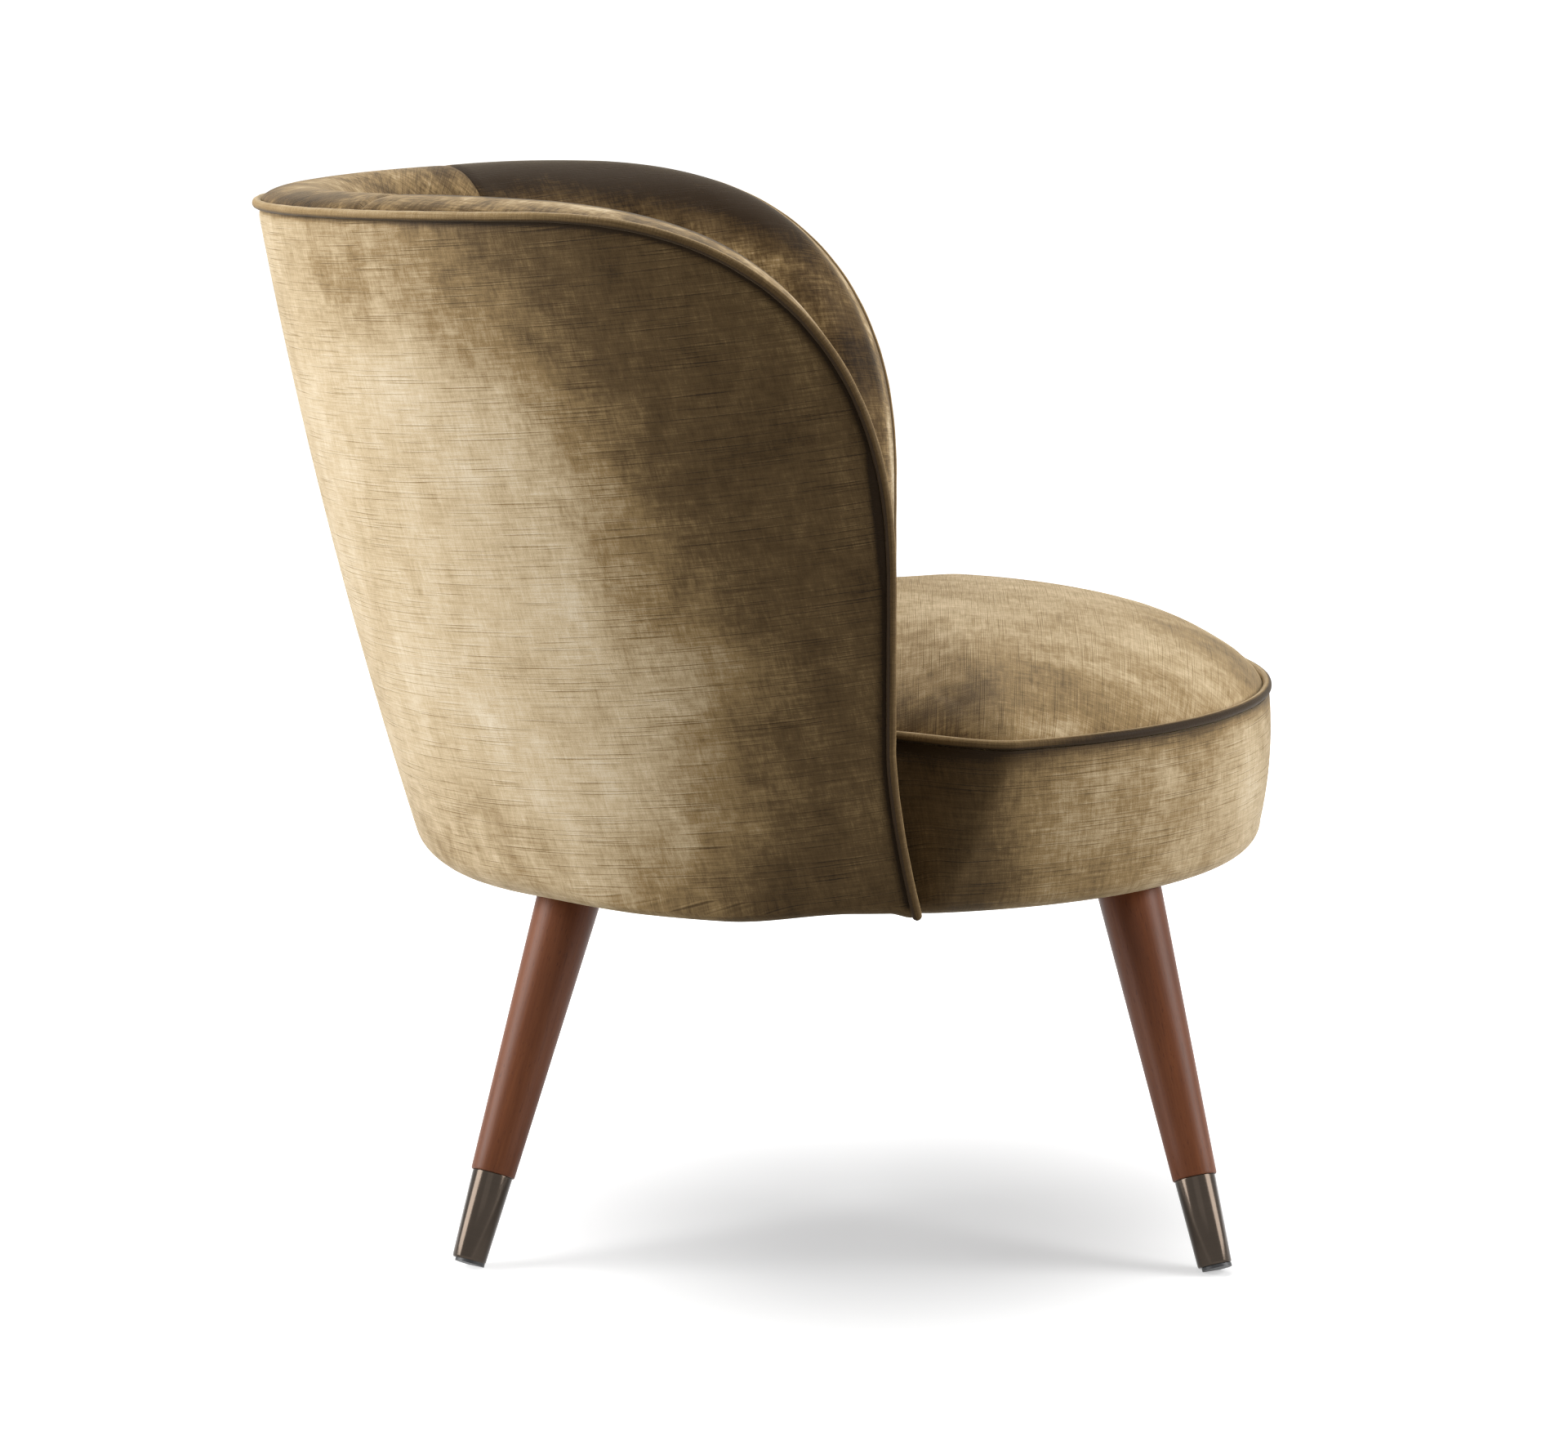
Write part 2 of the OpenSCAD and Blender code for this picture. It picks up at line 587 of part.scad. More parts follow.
// Webbing: each strap is a side view pushed out to its width. It goes over and
// under the straps that cross it, and its ends lie on the upper ring.
strap_reach = frame_top_r - strap_end;
strap_z = frame_top + 0.1 + strap_t;
weave = strap_t / 2 + 0.2;
function strap_places() = [for (i = [0:strap_count - 1]) (i - (strap_count - 1) / 2) * strap_pitch];
function strap_half(at) = sqrt(pow(strap_reach, 2) - pow(abs(at) + strap_w / 2, 2));
function strap_path(i, over) = let (h = strap_half(strap_places()[i]), flat = strap_w / 2 + 1)
    concat([[-h, -weave]],
        [for (j = [0:strap_count - 1], s = [-1, 1])
            let (p = strap_places()[j] + s * flat, up = (i + j + over) % 2 == 0 ? 1 : -1)
            if (abs(p) < h) [p, up * weave]],
        [[h, -weave]]);
module strap(i, over) {
    path = strap_path(i, over);
    half = strap_t / 2;
    rotate([90, 0, 0]) linear_extrude(strap_w, center = true)
        polygon(concat([for (p = path) p + [0, half]], [for (p = flip(path)) p - [0, half]]));
}
module webbing_lengthwise() {
    color(jute) for (i = [0:strap_count - 1])
        translate([strap_places()[i], 0, strap_z + weave]) rotate([0, 0, 90]) strap(i, 0);
}
module webbing_crosswise() {
    color(jute) for (i = [0:strap_count - 1])
        translate([0, strap_places()[i], strap_z + weave]) strap(i, 1);
}

// Soft parts of the seat
module seat_foam() {
    off = cover_t + fit;
    color(foam_colour) dome(
        [for (k = dome_rings) [for (t = seat_angles) dome_point(t, k, off)]],
        [[for (t = seat_angles) outline(t, foam_z, off + fit)]],
        [0, -seat_peak, dome_z(0) - off], [0, 0, foam_z]);
}

foam_lip = 6;
function beside_board(t, z) =
    let (r = (frame_at(max(z, ring_z)) + board_t + fit) / cos(rear_step / 2))
    [r * sin(t), r * cos(t), z];
function over_board(t, z) = let (r = frame_top_r - foam_lip) [r * sin(t), r * cos(t), z];
module band_foam() {
    off = cover_t + 2 * fit;
    top = foam_z - fit;
    step = frame_top + fit;
    color(foam_colour) ring_of([for (t = seat_angles)
        let (face = concat([for (a = [90:-30:0]) corner_point(t, a, off)],
            side_points(t, off, top)))
        concat(flip(face), [for (i = [0:len(face) - 2]) beside_board(t, face[i][2])],
            [beside_board(t, step), over_board(t, step), over_board(t, top)])], turned = true);
}

module seat_top_cover() {
    color(velvet) dome(
        [for (k = dome_rings) [for (t = seat_angles) dome_point(t, k, 0)]],
        [for (k = dome_rings) [for (t = seat_angles) dome_point(t, k, cover_t)]],
        [0, -seat_peak, dome_z(0)], [0, -seat_peak, dome_z(0) - cover_t]);
}

module seat_band_cover() {
    color(velvet) ring_of([for (t = seat_angles)
        concat(flip(band_line(t, 0)), band_line(t, cover_t))]);
}

module seat_piping() {
    color(velvet_dark)
        tube([for (t = seat_angles) outline(t, seat_z, piping_in)],
            [for (t = seat_angles) [sin(t), cos(t), 0]], piping_r, true);
}

dust_in = 8;
module dust_cover() {
    color(black) translate([0, 0, dust_z]) difference() {
        cylinder(h = dust_t, r = frame_r - dust_in, $fn = 96);
        for (sx = [-1, 1], sy = [-1, 1])
            translate([sx * top_x(sy), sy * top_y(sy), -1]) cylinder(h = dust_t + 2, d = bolt_d + 6);
    }
}

// A sheet that follows the back's outer face from its foot to the rim
plate_rows = 6;
back_hem = 6;
// Share of the way from the middle of the back to the wing's edge, for a line on the plate
function plate_share(i) = let (k = i - upper_last, a = abs(k), flat = seam_steps + level_steps)
    (k < 0 ? -1 : 1) * (a <= flat ? abs(upper_rim[i][0]) / edge_angle(corner_z)
        : mix(level_end / edge_angle(corner_z), 1, (a - flat) / corner_steps));
function plate_edge(z, e) = edge_angle(min(z, corner_z)) - e / seat_r * 180 / PI;
function plate_line(i, e, d, foot) =
    let (s = upper_rim[i], top = s[1] - e * s[3], share = plate_share(i),
        t0 = s[0] - e * s[2] / seat_r * 180 / PI, lean = t0 - share * plate_edge(corner_z, e))
    [for (k = [0:plate_rows]) let (f = k / plate_rows, z = mix(foot, top, f))
        on_back(share * plate_edge(z, e) + lean * f, z, d)];
wing_corner_r = 6;
wing_share = 0.85;
function under_r(i) = mix(back_corner_r, wing_corner_r,
    smooth((abs(plate_share(i)) - wing_share) / (1 - wing_share)));
function under_line(i, e, off) =
    let (r = under_r(i), q = r - off, t = plate_share(i) * plate_edge(ply_foot, e))
    concat([on_back(t, back_base + off, r + back_hem)],
        [for (a = [90:-30:30]) on_back(t, back_base + r - q * sin(a), r - q * cos(a))]);

module back_shell() {
    color(ply_colour) difference() {
        between([for (i = [0:2 * upper_last]) plate_line(i, ply_edge, ply_in, ply_foot)],
            [for (i = [0:2 * upper_last]) plate_line(i, ply_edge, ply_out, ply_foot)]);
        for (a = bracket_angles, h = shell_screw_heights)
            shell_screw_at(a, h) translate([0, 0, -shell_screw_l])
                cylinder(h = 2 * ply_t + shell_screw_l, d = screw_d + hole_gap);
    }
}

module back_outer_cover() {
    color(velvet) between(
        [for (i = [0:2 * upper_last]) concat(under_line(i, skin_edge, cover_t),
            plate_line(i, skin_edge, cover_t, ply_foot))],
        [for (i = [0:2 * upper_last]) concat(under_line(i, skin_edge, 0),
            plate_line(i, skin_edge, 0, ply_foot))]);
}

module back_foam() {
    color(foam_colour) between([for (i = [0:2 * rim_last]) ply_line(i)],
        [for (i = [0:2 * rim_last]) pad_line(i, cover_t + fit)]);
}

module back_panel(first, last) {
    color(velvet) between([for (i = [first:last]) pad_line(i, cover_t)],
        [for (i = [first:last]) pad_line(i, 0)]);
}

module back_piping() {
    path = concat([mirrored(piping_tail())], rim, [piping_tail()]);
    color(velvet_dark) tube([for (s = path) inside_rim(s, piping_e, 0)],
        [for (s = path) [sin(s[0]), cos(s[0]), 0]], piping_r, false);
}
function piping_tail() = front_station(back_base - 2);

// Brackets: a foot under the lower ring and an upright against the plywood
bracket_angles = [-bracket_angle, 0, bracket_angle];
bracket_foot = 52;
first_screw = 18;
screw_pitch = 20;
screw_edge = 8;
ring_screw_radii = [frame_r - first_screw, frame_r - first_screw - screw_pitch];
shell_screw_pitch = 14;
screw_rest = 2;
ring_screw_l = ring_t - 1.5 * screw_rest;
shell_screw_l = ply_t - screw_rest;
shell_screw_heights = [bracket_h - screw_edge - shell_screw_pitch, bracket_h - screw_edge];
module at_angle(a, r) {
    rotate([0, 0, -a]) translate([0, r, 0]) children();
}
function bracket_r(a) = let (p = on_back(a, ply_foot, ply_in + fit)) norm([p[0], p[1]]);
function bracket_slope(a) =
    let (p = on_back(a, ply_foot, 0), q = on_back(a, ply_foot + 30, 0),
        out = [sin(a), cos(a), 0])
    ((q - p) * out) / 30;
function bracket_turn(a) = let (p = on_back(a, ply_foot, 0)) atan2(p[0], p[1]);
module shell_screw_at(a, h) {
    s = bracket_slope(a);
    rotate([0, 0, -bracket_turn(a)])
        translate([0, bracket_r(a) + s * (bracket_z + h - ply_foot), bracket_z + h])
            rotate([90 - atan(s), 0, 0]) children();
}
// A corner of a bent strip, moved to the strip's other side; a and b are its two normals
bracket_bend = 6.5;
bracket_back = fit + bracket_w / 2 * tan(facet_angle);
function mitre(p, a, b, t) = let (u = unit(a), v = unit(b)) p + t * (u + v) / (1 + u * v);
module back_bracket(a) {
    s = bracket_slope(a);
    t = bracket_t;
    r = bracket_r(a) - bracket_back;
    z = bracket_z;
    low = s * (z - ply_foot);
    high = s * (z + bracket_h - ply_foot);
    heel = [r + low - bracket_bend, z];
    knee = [r + low + s * bracket_bend, z + bracket_bend];
    across = [heel[1] - knee[1], knee[0] - heel[0]];
    color(steel) difference() {
        rotate([0, 0, -bracket_turn(a)]) rotate([90, 0, 90])
            linear_extrude(bracket_w, center = true)
                polygon([[frame_r - bracket_foot, z], heel, knee, [r + high, z + bracket_h],
                    [r + high - t * norm([1, s]), z + bracket_h],
                    mitre(knee, across, [-1, s], t), mitre(heel, [0, 1], across, t),
                    [frame_r - bracket_foot, z + t]]);
        for (q = ring_screw_radii) at_angle(bracket_turn(a), q) translate([0, 0, z - 0.01])
            cylinder(h = t + 0.02, d1 = screw_d * 2 + hole_gap, d2 = screw_d + hole_gap);
        for (h = shell_screw_heights) shell_screw_at(a, h)
            translate([0, 0, -ply_t]) cylinder(h = 3 * ply_t, d = screw_d + hole_gap);
    }
}
module bracket_ring_screws() {
    color(steel) for (a = bracket_angles, r = ring_screw_radii)
        at_angle(bracket_turn(a), r) translate([0, 0, bracket_z]) union() {
            cylinder(h = bracket_t, d1 = screw_d * 2, d2 = screw_d);
            cylinder(h = ring_screw_l, d = screw_d);
        }
}
module bracket_shell_screws() {
    low = 1 - shell_screw_l;
    head = bracket_back + bracket_t + fit / 2;
    color(steel) for (a = bracket_angles, h = shell_screw_heights) shell_screw_at(a, h) union() {
        translate([0, 0, low]) cylinder(h = head - low + 1, d = screw_d);
        translate([0, 0, head]) cylinder(h = screw_head_t, d = screw_d * 2);
    }
}

front_reach = -outline(180, seat_z, piping_in)[1] + piping_r;
rear_reach = inside_rim(rim_half[0], piping_e, 0)[1] + piping_r;
module placed() {
    translate([0, (front_reach - rear_reach) / 2, 0]) children();
}

placed() seat_ring_lower();
placed() seat_ring_upper();
placed() seat_frame_posts();
placed() seat_band_board();
placed() leg_block(-1, -1);  // leg_block_front_left
placed() leg_block(1, -1);  // leg_block_front_right
placed() leg_block(-1, 1);  // leg_block_rear_left
placed() leg_block(1, 1);  // leg_block_rear_right
placed() webbing_lengthwise();
placed() webbing_crosswise();
placed() seat_foam();
placed() band_foam();
placed() seat_top_cover();
placed() seat_band_cover();
placed() seat_piping();
placed() dust_cover();
placed() back_shell();
placed() back_foam();
placed() back_outer_cover();
placed() back_panel(rim_last - seam_steps, rim_last + seam_steps);  // back_panel_centre
placed() back_panel(0, rim_last - seam_steps);  // back_panel_left
placed() back_panel(rim_last + seam_steps, 2 * rim_last);  // back_panel_right
placed() back_piping();
placed() back_bracket(0);  // back_bracket_centre
placed() back_bracket(-bracket_angle);  // back_bracket_left
placed() back_bracket(bracket_angle);  // back_bracket_right
placed() bracket_ring_screws();
placed() bracket_shell_screws();
placed() leg(-1, -1);  // leg_front_left
placed() leg(1, -1);  // leg_front_right
placed() leg(-1, 1);  // leg_rear_left
placed() leg(1, 1);  // leg_rear_right
placed() ferrule(-1, -1);  // ferrule_front_left
placed() ferrule(1, -1);  // ferrule_front_right
placed() ferrule(-1, 1);  // ferrule_rear_left
placed() ferrule(1, 1);  // ferrule_rear_right
placed() glide(-1, -1);  // glide_front_left
placed() glide(1, -1);  // glide_front_right
placed() glide(-1, 1);  // glide_rear_left
placed() glide(1, 1);  // glide_rear_right
placed() bolt(-1, -1);  // bolt_front_left
placed() bolt(1, -1);  // bolt_front_right
placed() bolt(-1, 1);  // bolt_rear_left
placed() bolt(1, 1);  // bolt_rear_right
placed() insert(-1, -1);  // insert_front_left
placed() insert(1, -1);  // insert_front_right
placed() insert(-1, 1);  // insert_rear_left
placed() insert(1, 1);  // insert_rear_right
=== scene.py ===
# Easy chair: a round sprung drum, a leaning tub back with a soft pad, four tapered legs
import math
import bpy
import numpy as np
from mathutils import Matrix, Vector
from mathutils.kdtree import KDTree


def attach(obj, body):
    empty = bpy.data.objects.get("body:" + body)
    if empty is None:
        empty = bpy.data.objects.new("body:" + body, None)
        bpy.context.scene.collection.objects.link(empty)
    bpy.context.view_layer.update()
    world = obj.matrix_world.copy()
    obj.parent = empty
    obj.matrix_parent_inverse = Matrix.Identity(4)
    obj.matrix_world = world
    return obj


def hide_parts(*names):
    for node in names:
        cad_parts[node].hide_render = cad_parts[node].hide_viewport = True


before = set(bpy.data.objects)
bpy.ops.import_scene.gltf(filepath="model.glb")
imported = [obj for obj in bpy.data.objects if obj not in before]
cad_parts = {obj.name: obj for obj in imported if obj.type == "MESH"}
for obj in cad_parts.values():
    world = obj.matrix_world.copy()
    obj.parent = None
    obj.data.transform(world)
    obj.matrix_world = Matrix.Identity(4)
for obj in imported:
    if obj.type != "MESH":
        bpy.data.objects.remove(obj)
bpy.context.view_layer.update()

scene = bpy.context.scene
scene.view_settings.view_transform = "Standard"
print("frame loaded:", len(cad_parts), "solids of the chair")

# Sizes in millimetres, as the chair's source has them. The drum's middle is y = 0 until a
# piece is placed; t is the angle from the back, d a depth inwards from the tub's outside.
chair = dict(underside=240.0, seat=360.0, rim=705.0, corner=462.0, wingFoot=251.5, plyFoot=257.7,
             seatRadius=299.0, footRadius=303.0, halfWidth=318.0, sweep=60.0, lean=112.0, bow=33.0,
             dip=6.0, wingFront=31.3, wingFlare=20.0, wingRun=234.0, wingDrop=243.0,
             cornerSquare=2.4, crownFrom=0.59, crownOver=0.82, seam=42.0, shiftY=-57.90)


# Small sums
def mix(a, b, k):
    return a + (b - a) * k


def clip(k):
    return np.clip(k, 0.0, 1.0)


def ramp(x, start, run):  # 0 up to start, 1 past the run, smooth between; a negative run goes down
    c = clip((x - start) / run)
    return c * c * (3 - 2 * c)


def bell(x, middle, width):
    return np.exp(-((x - middle) / width) ** 2)


def spots(x, y, rows):  # bells over x and y, in rows of amount, x, its width, y, its width
    return sum(row[0] * bell(x, *row[1:3]) * bell(y, *row[3:]) for row in rows)


def grid(*lists):
    return np.meshgrid(*lists, indexing="ij")


def stacked(*parts):  # arrays side by side on a new last axis
    return np.stack(np.broadcast_arrays(*parts), -1)


def runAlong(path):  # the distance along a path of points, 0 at its first
    return np.concatenate([[0], np.cumsum(np.linalg.norm(np.diff(path, axis=0), axis=1))])


def offBack(t):  # how far an angle is from the back, either way round
    return np.where(t > 180, 360 - t, np.abs(t))


def level(t, r, z):  # the point at an angle, a radius and a height
    return stacked(r * np.sin(np.radians(t)), r * np.cos(np.radians(t)), z)


# The tub: an oval that widens a little, lengthens a lot and moves back as it rises
def rise(z):
    return (z - chair["underside"]) / (chair["rim"] - chair["underside"])


def ovalMiddle(z):
    return chair["sweep"] * rise(z)


def ovalWidth(z):
    return mix(chair["footRadius"], chair["halfWidth"], rise(z))


def ovalLength(z):
    r = rise(z)
    reach = (chair["lean"] + chair["bow"]) * r - chair["bow"] * r ** 2
    return chair["footRadius"] + reach - ovalMiddle(z)


def onBack(t, z, d):  # x = (width - d) sin t, y = middle + (length - d) cos t
    a = np.radians(t)
    return stacked((ovalWidth(z) - d) * np.sin(a), ovalMiddle(z) + (ovalLength(z) - d) * np.cos(a), z)


def angleAt(y, z):  # the t whose point on the oval has this y
    return np.degrees(np.arccos(np.clip((y - ovalMiddle(z)) / ovalLength(z), -1, 1)))


def belowSeat(z):  # 0 at the chair's underside, 1 at the seat's line
    return clip((z - chair["underside"]) / (chair["seat"] - chair["underside"]))


def edgeAngle(z):  # of the wings' front edge, flared forward below the seat's line
    return angleAt(-chair["wingFront"] - chair["wingFlare"] * (1 - belowSeat(z)) ** 1.5, z)


levelEnd = float(angleAt(chair["wingRun"] - chair["wingFront"], chair["rim"]))


def aroundBy(e):  # a distance along the tub as an angle
    return np.degrees(e / chair["seatRadius"])


# The rim by steps q from the middle of the back: level to the seam and on, round a squared
# quarter turn, then down the wing's front edge. It returns angle, height, the forward and
# upward shares of the way out of the edge, and how far the pad's crown stands up.
seamStep, levelStep, wingStep, endStep = 5, 8, 16, 22


def rimAt(q):
    a = np.abs(q)
    side = np.sign(q) + (q == 0)
    flat = np.interp(a, [0, seamStep, levelStep], [0, chair["seam"], levelEnd])
    c = np.cos(np.radians(levelEnd))
    flatZ = chair["rim"] - chair["dip"] * (np.cos(np.radians(flat)) - c) / (1 - c)
    turn = clip((a - levelStep) / (wingStep - levelStep)) * math.pi / 2
    power = 2 / chair["cornerSquare"]
    cornerZ = chair["corner"] + chair["wingDrop"] * np.cos(turn) ** power
    cornerY = chair["wingRun"] * (1 - np.sin(turn) ** power) - chair["wingFront"]
    downZ = mix(chair["corner"], chair["wingFoot"], clip((a - wingStep) / (endStep - wingStep)))
    onFlat, onCorner = a < levelStep, a < wingStep
    z = np.where(onFlat, flatZ, np.where(onCorner, cornerZ, downZ))
    t = np.where(onFlat, flat, np.where(onCorner, angleAt(cornerY, z), edgeAngle(z)))
    flatY = ovalMiddle(chair["rim"]) + ovalLength(chair["rim"]) * np.cos(np.radians(flat))
    along = (np.where(onFlat, flatY, cornerY) + chair["wingFront"]) / chair["wingRun"]
    crown = mix(pad["wingCrown"], pad["crown"], ramp(along, chair["crownFrom"], chair["crownOver"]))
    return side * t, z, side * np.sin(turn), np.cos(turn), crown


# Rim steps at even distances along the rim, from one step to another
def evenSteps(first, last, spacing):
    q = np.linspace(first, last, 2001)
    run = runAlong(onBack(*rimAt(q)[:2], 0))
    return np.interp(np.linspace(0, run[-1], int(run[-1] / spacing) + 2), run, q)


# The cloth's own flat place: the tub rolled out as a cone, so threads climb towards the wings
rolled = dict(turn=0.085, radius=310.0)


def clothAt(t, z, extra=0.0, forward=0.0, upward=1.0):
    a = np.radians(t) * rolled["turn"]
    apex = rolled["radius"] / rolled["turn"]
    reach = apex + z - chair["underside"] + extra * upward
    return stacked(reach * np.sin(a) + extra * forward, reach * np.cos(a) - apex)


# Meshes. A skin is a grid of points, rows along and columns round, closed round its columns;
# its two ends are drawn to a pole, closed by a strip, or joined to each other.
def flattened(values, ends):  # a grid as one list, its end rows' means last where they are poles
    flat = values.reshape(-1, *values.shape[2:])
    return np.concatenate([flat, values[:1].mean(1), values[-1:].mean(1)]) if ends == "poles" else flat


def skin(name, points, ends, cloth, finish, slot, sharp=60, **facts):
    m, n = points.shape[:2]
    index = np.arange(m * n).reshape(m, n)
    rows = np.vstack([index, index[:1]]) if ends == "joined" else index
    a, b = rows[:-1], rows[1:]
    faces = [np.stack([a, b, np.roll(b, -1, 1), np.roll(a, -1, 1)], -1).reshape(-1, 4)]
    first, last = index[0], index[-1]
    if ends == "poles":
        pole = np.full(n, m * n)
        faces.append(np.stack([first, np.roll(first, -1), pole], -1))
        faces.append(np.stack([np.roll(last, -1), last, pole + 1], -1))
    if ends == "strips":
        h = n // 2
        faces.append(np.stack([first[:h - 1], first[1:h], first[::-1][1:h], first[::-1][:h - 1]], -1))
        faces.append(np.stack([last[1:h], last[:h - 1], last[::-1][:h - 1], last[::-1][1:h]], -1))
    flat = flattened(points, ends)
    volume = sum(np.einsum("ij,ij->", flat[f[:, 0]], np.cross(flat[f[:, k]], flat[f[:, k + 1]]))
                 for f in faces for k in range(1, f.shape[1] - 1))
    if volume < 0:
        faces = [f[:, ::-1] for f in faces]  # faces point outwards
    corners = np.concatenate([f.ravel() for f in faces])
    sizes = np.concatenate([np.full(len(f), f.shape[1]) for f in faces])
    mesh = bpy.data.meshes.new(name)
    mesh.vertices.add(len(flat))
    placed = (flat + np.array([0, chair["shiftY"], 0])) * 0.001
    mesh.vertices.foreach_set("co", placed.ravel().astype(np.float32))
    mesh.loops.add(len(corners))
    mesh.loops.foreach_set("vertex_index", corners.astype(np.int32))
    mesh.polygons.add(len(sizes))
    mesh.polygons.foreach_set("loop_start", (np.cumsum(sizes) - sizes).astype(np.int32))
    mesh.update(calc_edges=True)
    mesh.validate()
    mesh.shade_smooth()
    mesh.set_sharp_from_angle(angle=math.radians(sharp))
    if cloth is not None:
        uv = mesh.uv_layers.new(name="cloth")
        uv.data.foreach_set("uv", (flattened(cloth, ends)[corners] * 0.001).ravel())
    for key, value in facts.items():
        kind, field = ("FLOAT_VECTOR", "vector") if value.ndim > 2 else ("FLOAT", "value")
        made = mesh.attributes.new(key, kind, "POINT")
        made.data.foreach_set(field, flattened(value, ends).ravel().astype(np.float32))
    mesh.materials.append(finish)
    piece = bpy.data.objects.new(name, mesh)
    scene.collection.objects.link(piece)
    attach(piece, "root")
    return piece


# A closed profile from a face and the rear behind it: the face's columns, then the rear's back
def shell(face, rear):
    return np.concatenate([face, rear[:, ::-1]], 1)


# Lets a pad swell. A remeshed copy of the piece becomes Cloth under pressure, held wherever the
# piece is sewn or backed, and the piece follows it by Surface Deform. Each point then moves by
# cap * tanh(its travel / cap) * its freedom, so no sewn edge leaves its place.
swelling = dict(voxel=0.0065, frames=20, quality=6, stiffness=12.0, held=0.05)


def swell(piece, free, cap, pressure):
    mesh = piece.data
    before = np.empty(len(mesh.vertices) * 3, dtype=np.float32)
    mesh.vertices.foreach_get("co", before)
    blown = bpy.data.objects.new(piece.name + "Blown", mesh.copy())
    scene.collection.objects.link(blown)
    remesh = blown.modifiers.new("remesh", "REMESH")
    remesh.mode, remesh.voxel_size = "VOXEL", swelling["voxel"]
    coarse = bpy.data.meshes.new_from_object(blown.evaluated_get(bpy.context.evaluated_depsgraph_get()))
    blown.modifiers.clear()
    blown.data = coarse
    tree = KDTree(len(free))
    for i, point in enumerate(before.reshape(-1, 3)):
        tree.insert(point, i)
    tree.balance()
    held = [i for i, v in enumerate(coarse.vertices) if free[tree.find(v.co)[1]] < swelling["held"]]
    blown.vertex_groups.new(name="held").add(held, 1.0, "REPLACE")
    cloth = blown.modifiers.new("cloth", "CLOTH")
    cloth.settings.vertex_group_mass = "held"
    cloth.settings.use_pressure = True
    cloth.settings.uniform_pressure_force = pressure
    cloth.settings.effector_weights.gravity = 0.0
    cloth.settings.quality = swelling["quality"]
    cloth.settings.tension_stiffness = cloth.settings.compression_stiffness = swelling["stiffness"]
    cloth.point_cache.frame_start, cloth.point_cache.frame_end = 1, swelling["frames"]
    follow = piece.modifiers.new("follow", "SURFACE_DEFORM")
    follow.target = blown
    scene.frame_set(1)
    with bpy.context.temp_override(object=piece, active_object=piece):
        bpy.ops.object.surfacedeform_bind(modifier="follow")
    for step in range(1, swelling["frames"] + 1):
        scene.frame_set(step)
    after = np.empty_like(before)
    piece.evaluated_get(bpy.context.evaluated_depsgraph_get()).data.vertices.foreach_get("co", after)
    move = (after - before).reshape(-1, 3)
    travel = np.linalg.norm(move, axis=1)
    share = cap * np.tanh(travel / cap) / np.maximum(travel, 1e-9) * free
    mesh.vertices.foreach_set("co", (before.reshape(-1, 3) + move * share[:, None]).ravel())
    piece.modifiers.clear()
    bpy.data.objects.remove(blown)
    scene.frame_set(1)
    mesh.update()
    print(piece.name, "swelled by up to", round(float((travel * share).max()) * 1000, 1), "mm")


# Materials. A value wraps a socket, and sums on it add Math nodes.
class Value:
    def __init__(self, finish, socket):
        self.finish, self.socket = finish, socket

    def maths(self, operation, a, b):
        return self.finish.node("Math", dict(operation=operation), {0: a, 1: b})

    def __add__(self, b): return self.maths("ADD", self, b)
    def __radd__(self, b): return self.maths("ADD", b, self)
    def __sub__(self, b): return self.maths("SUBTRACT", self, b)
    def __mul__(self, b): return self.maths("MULTIPLY", self, b)


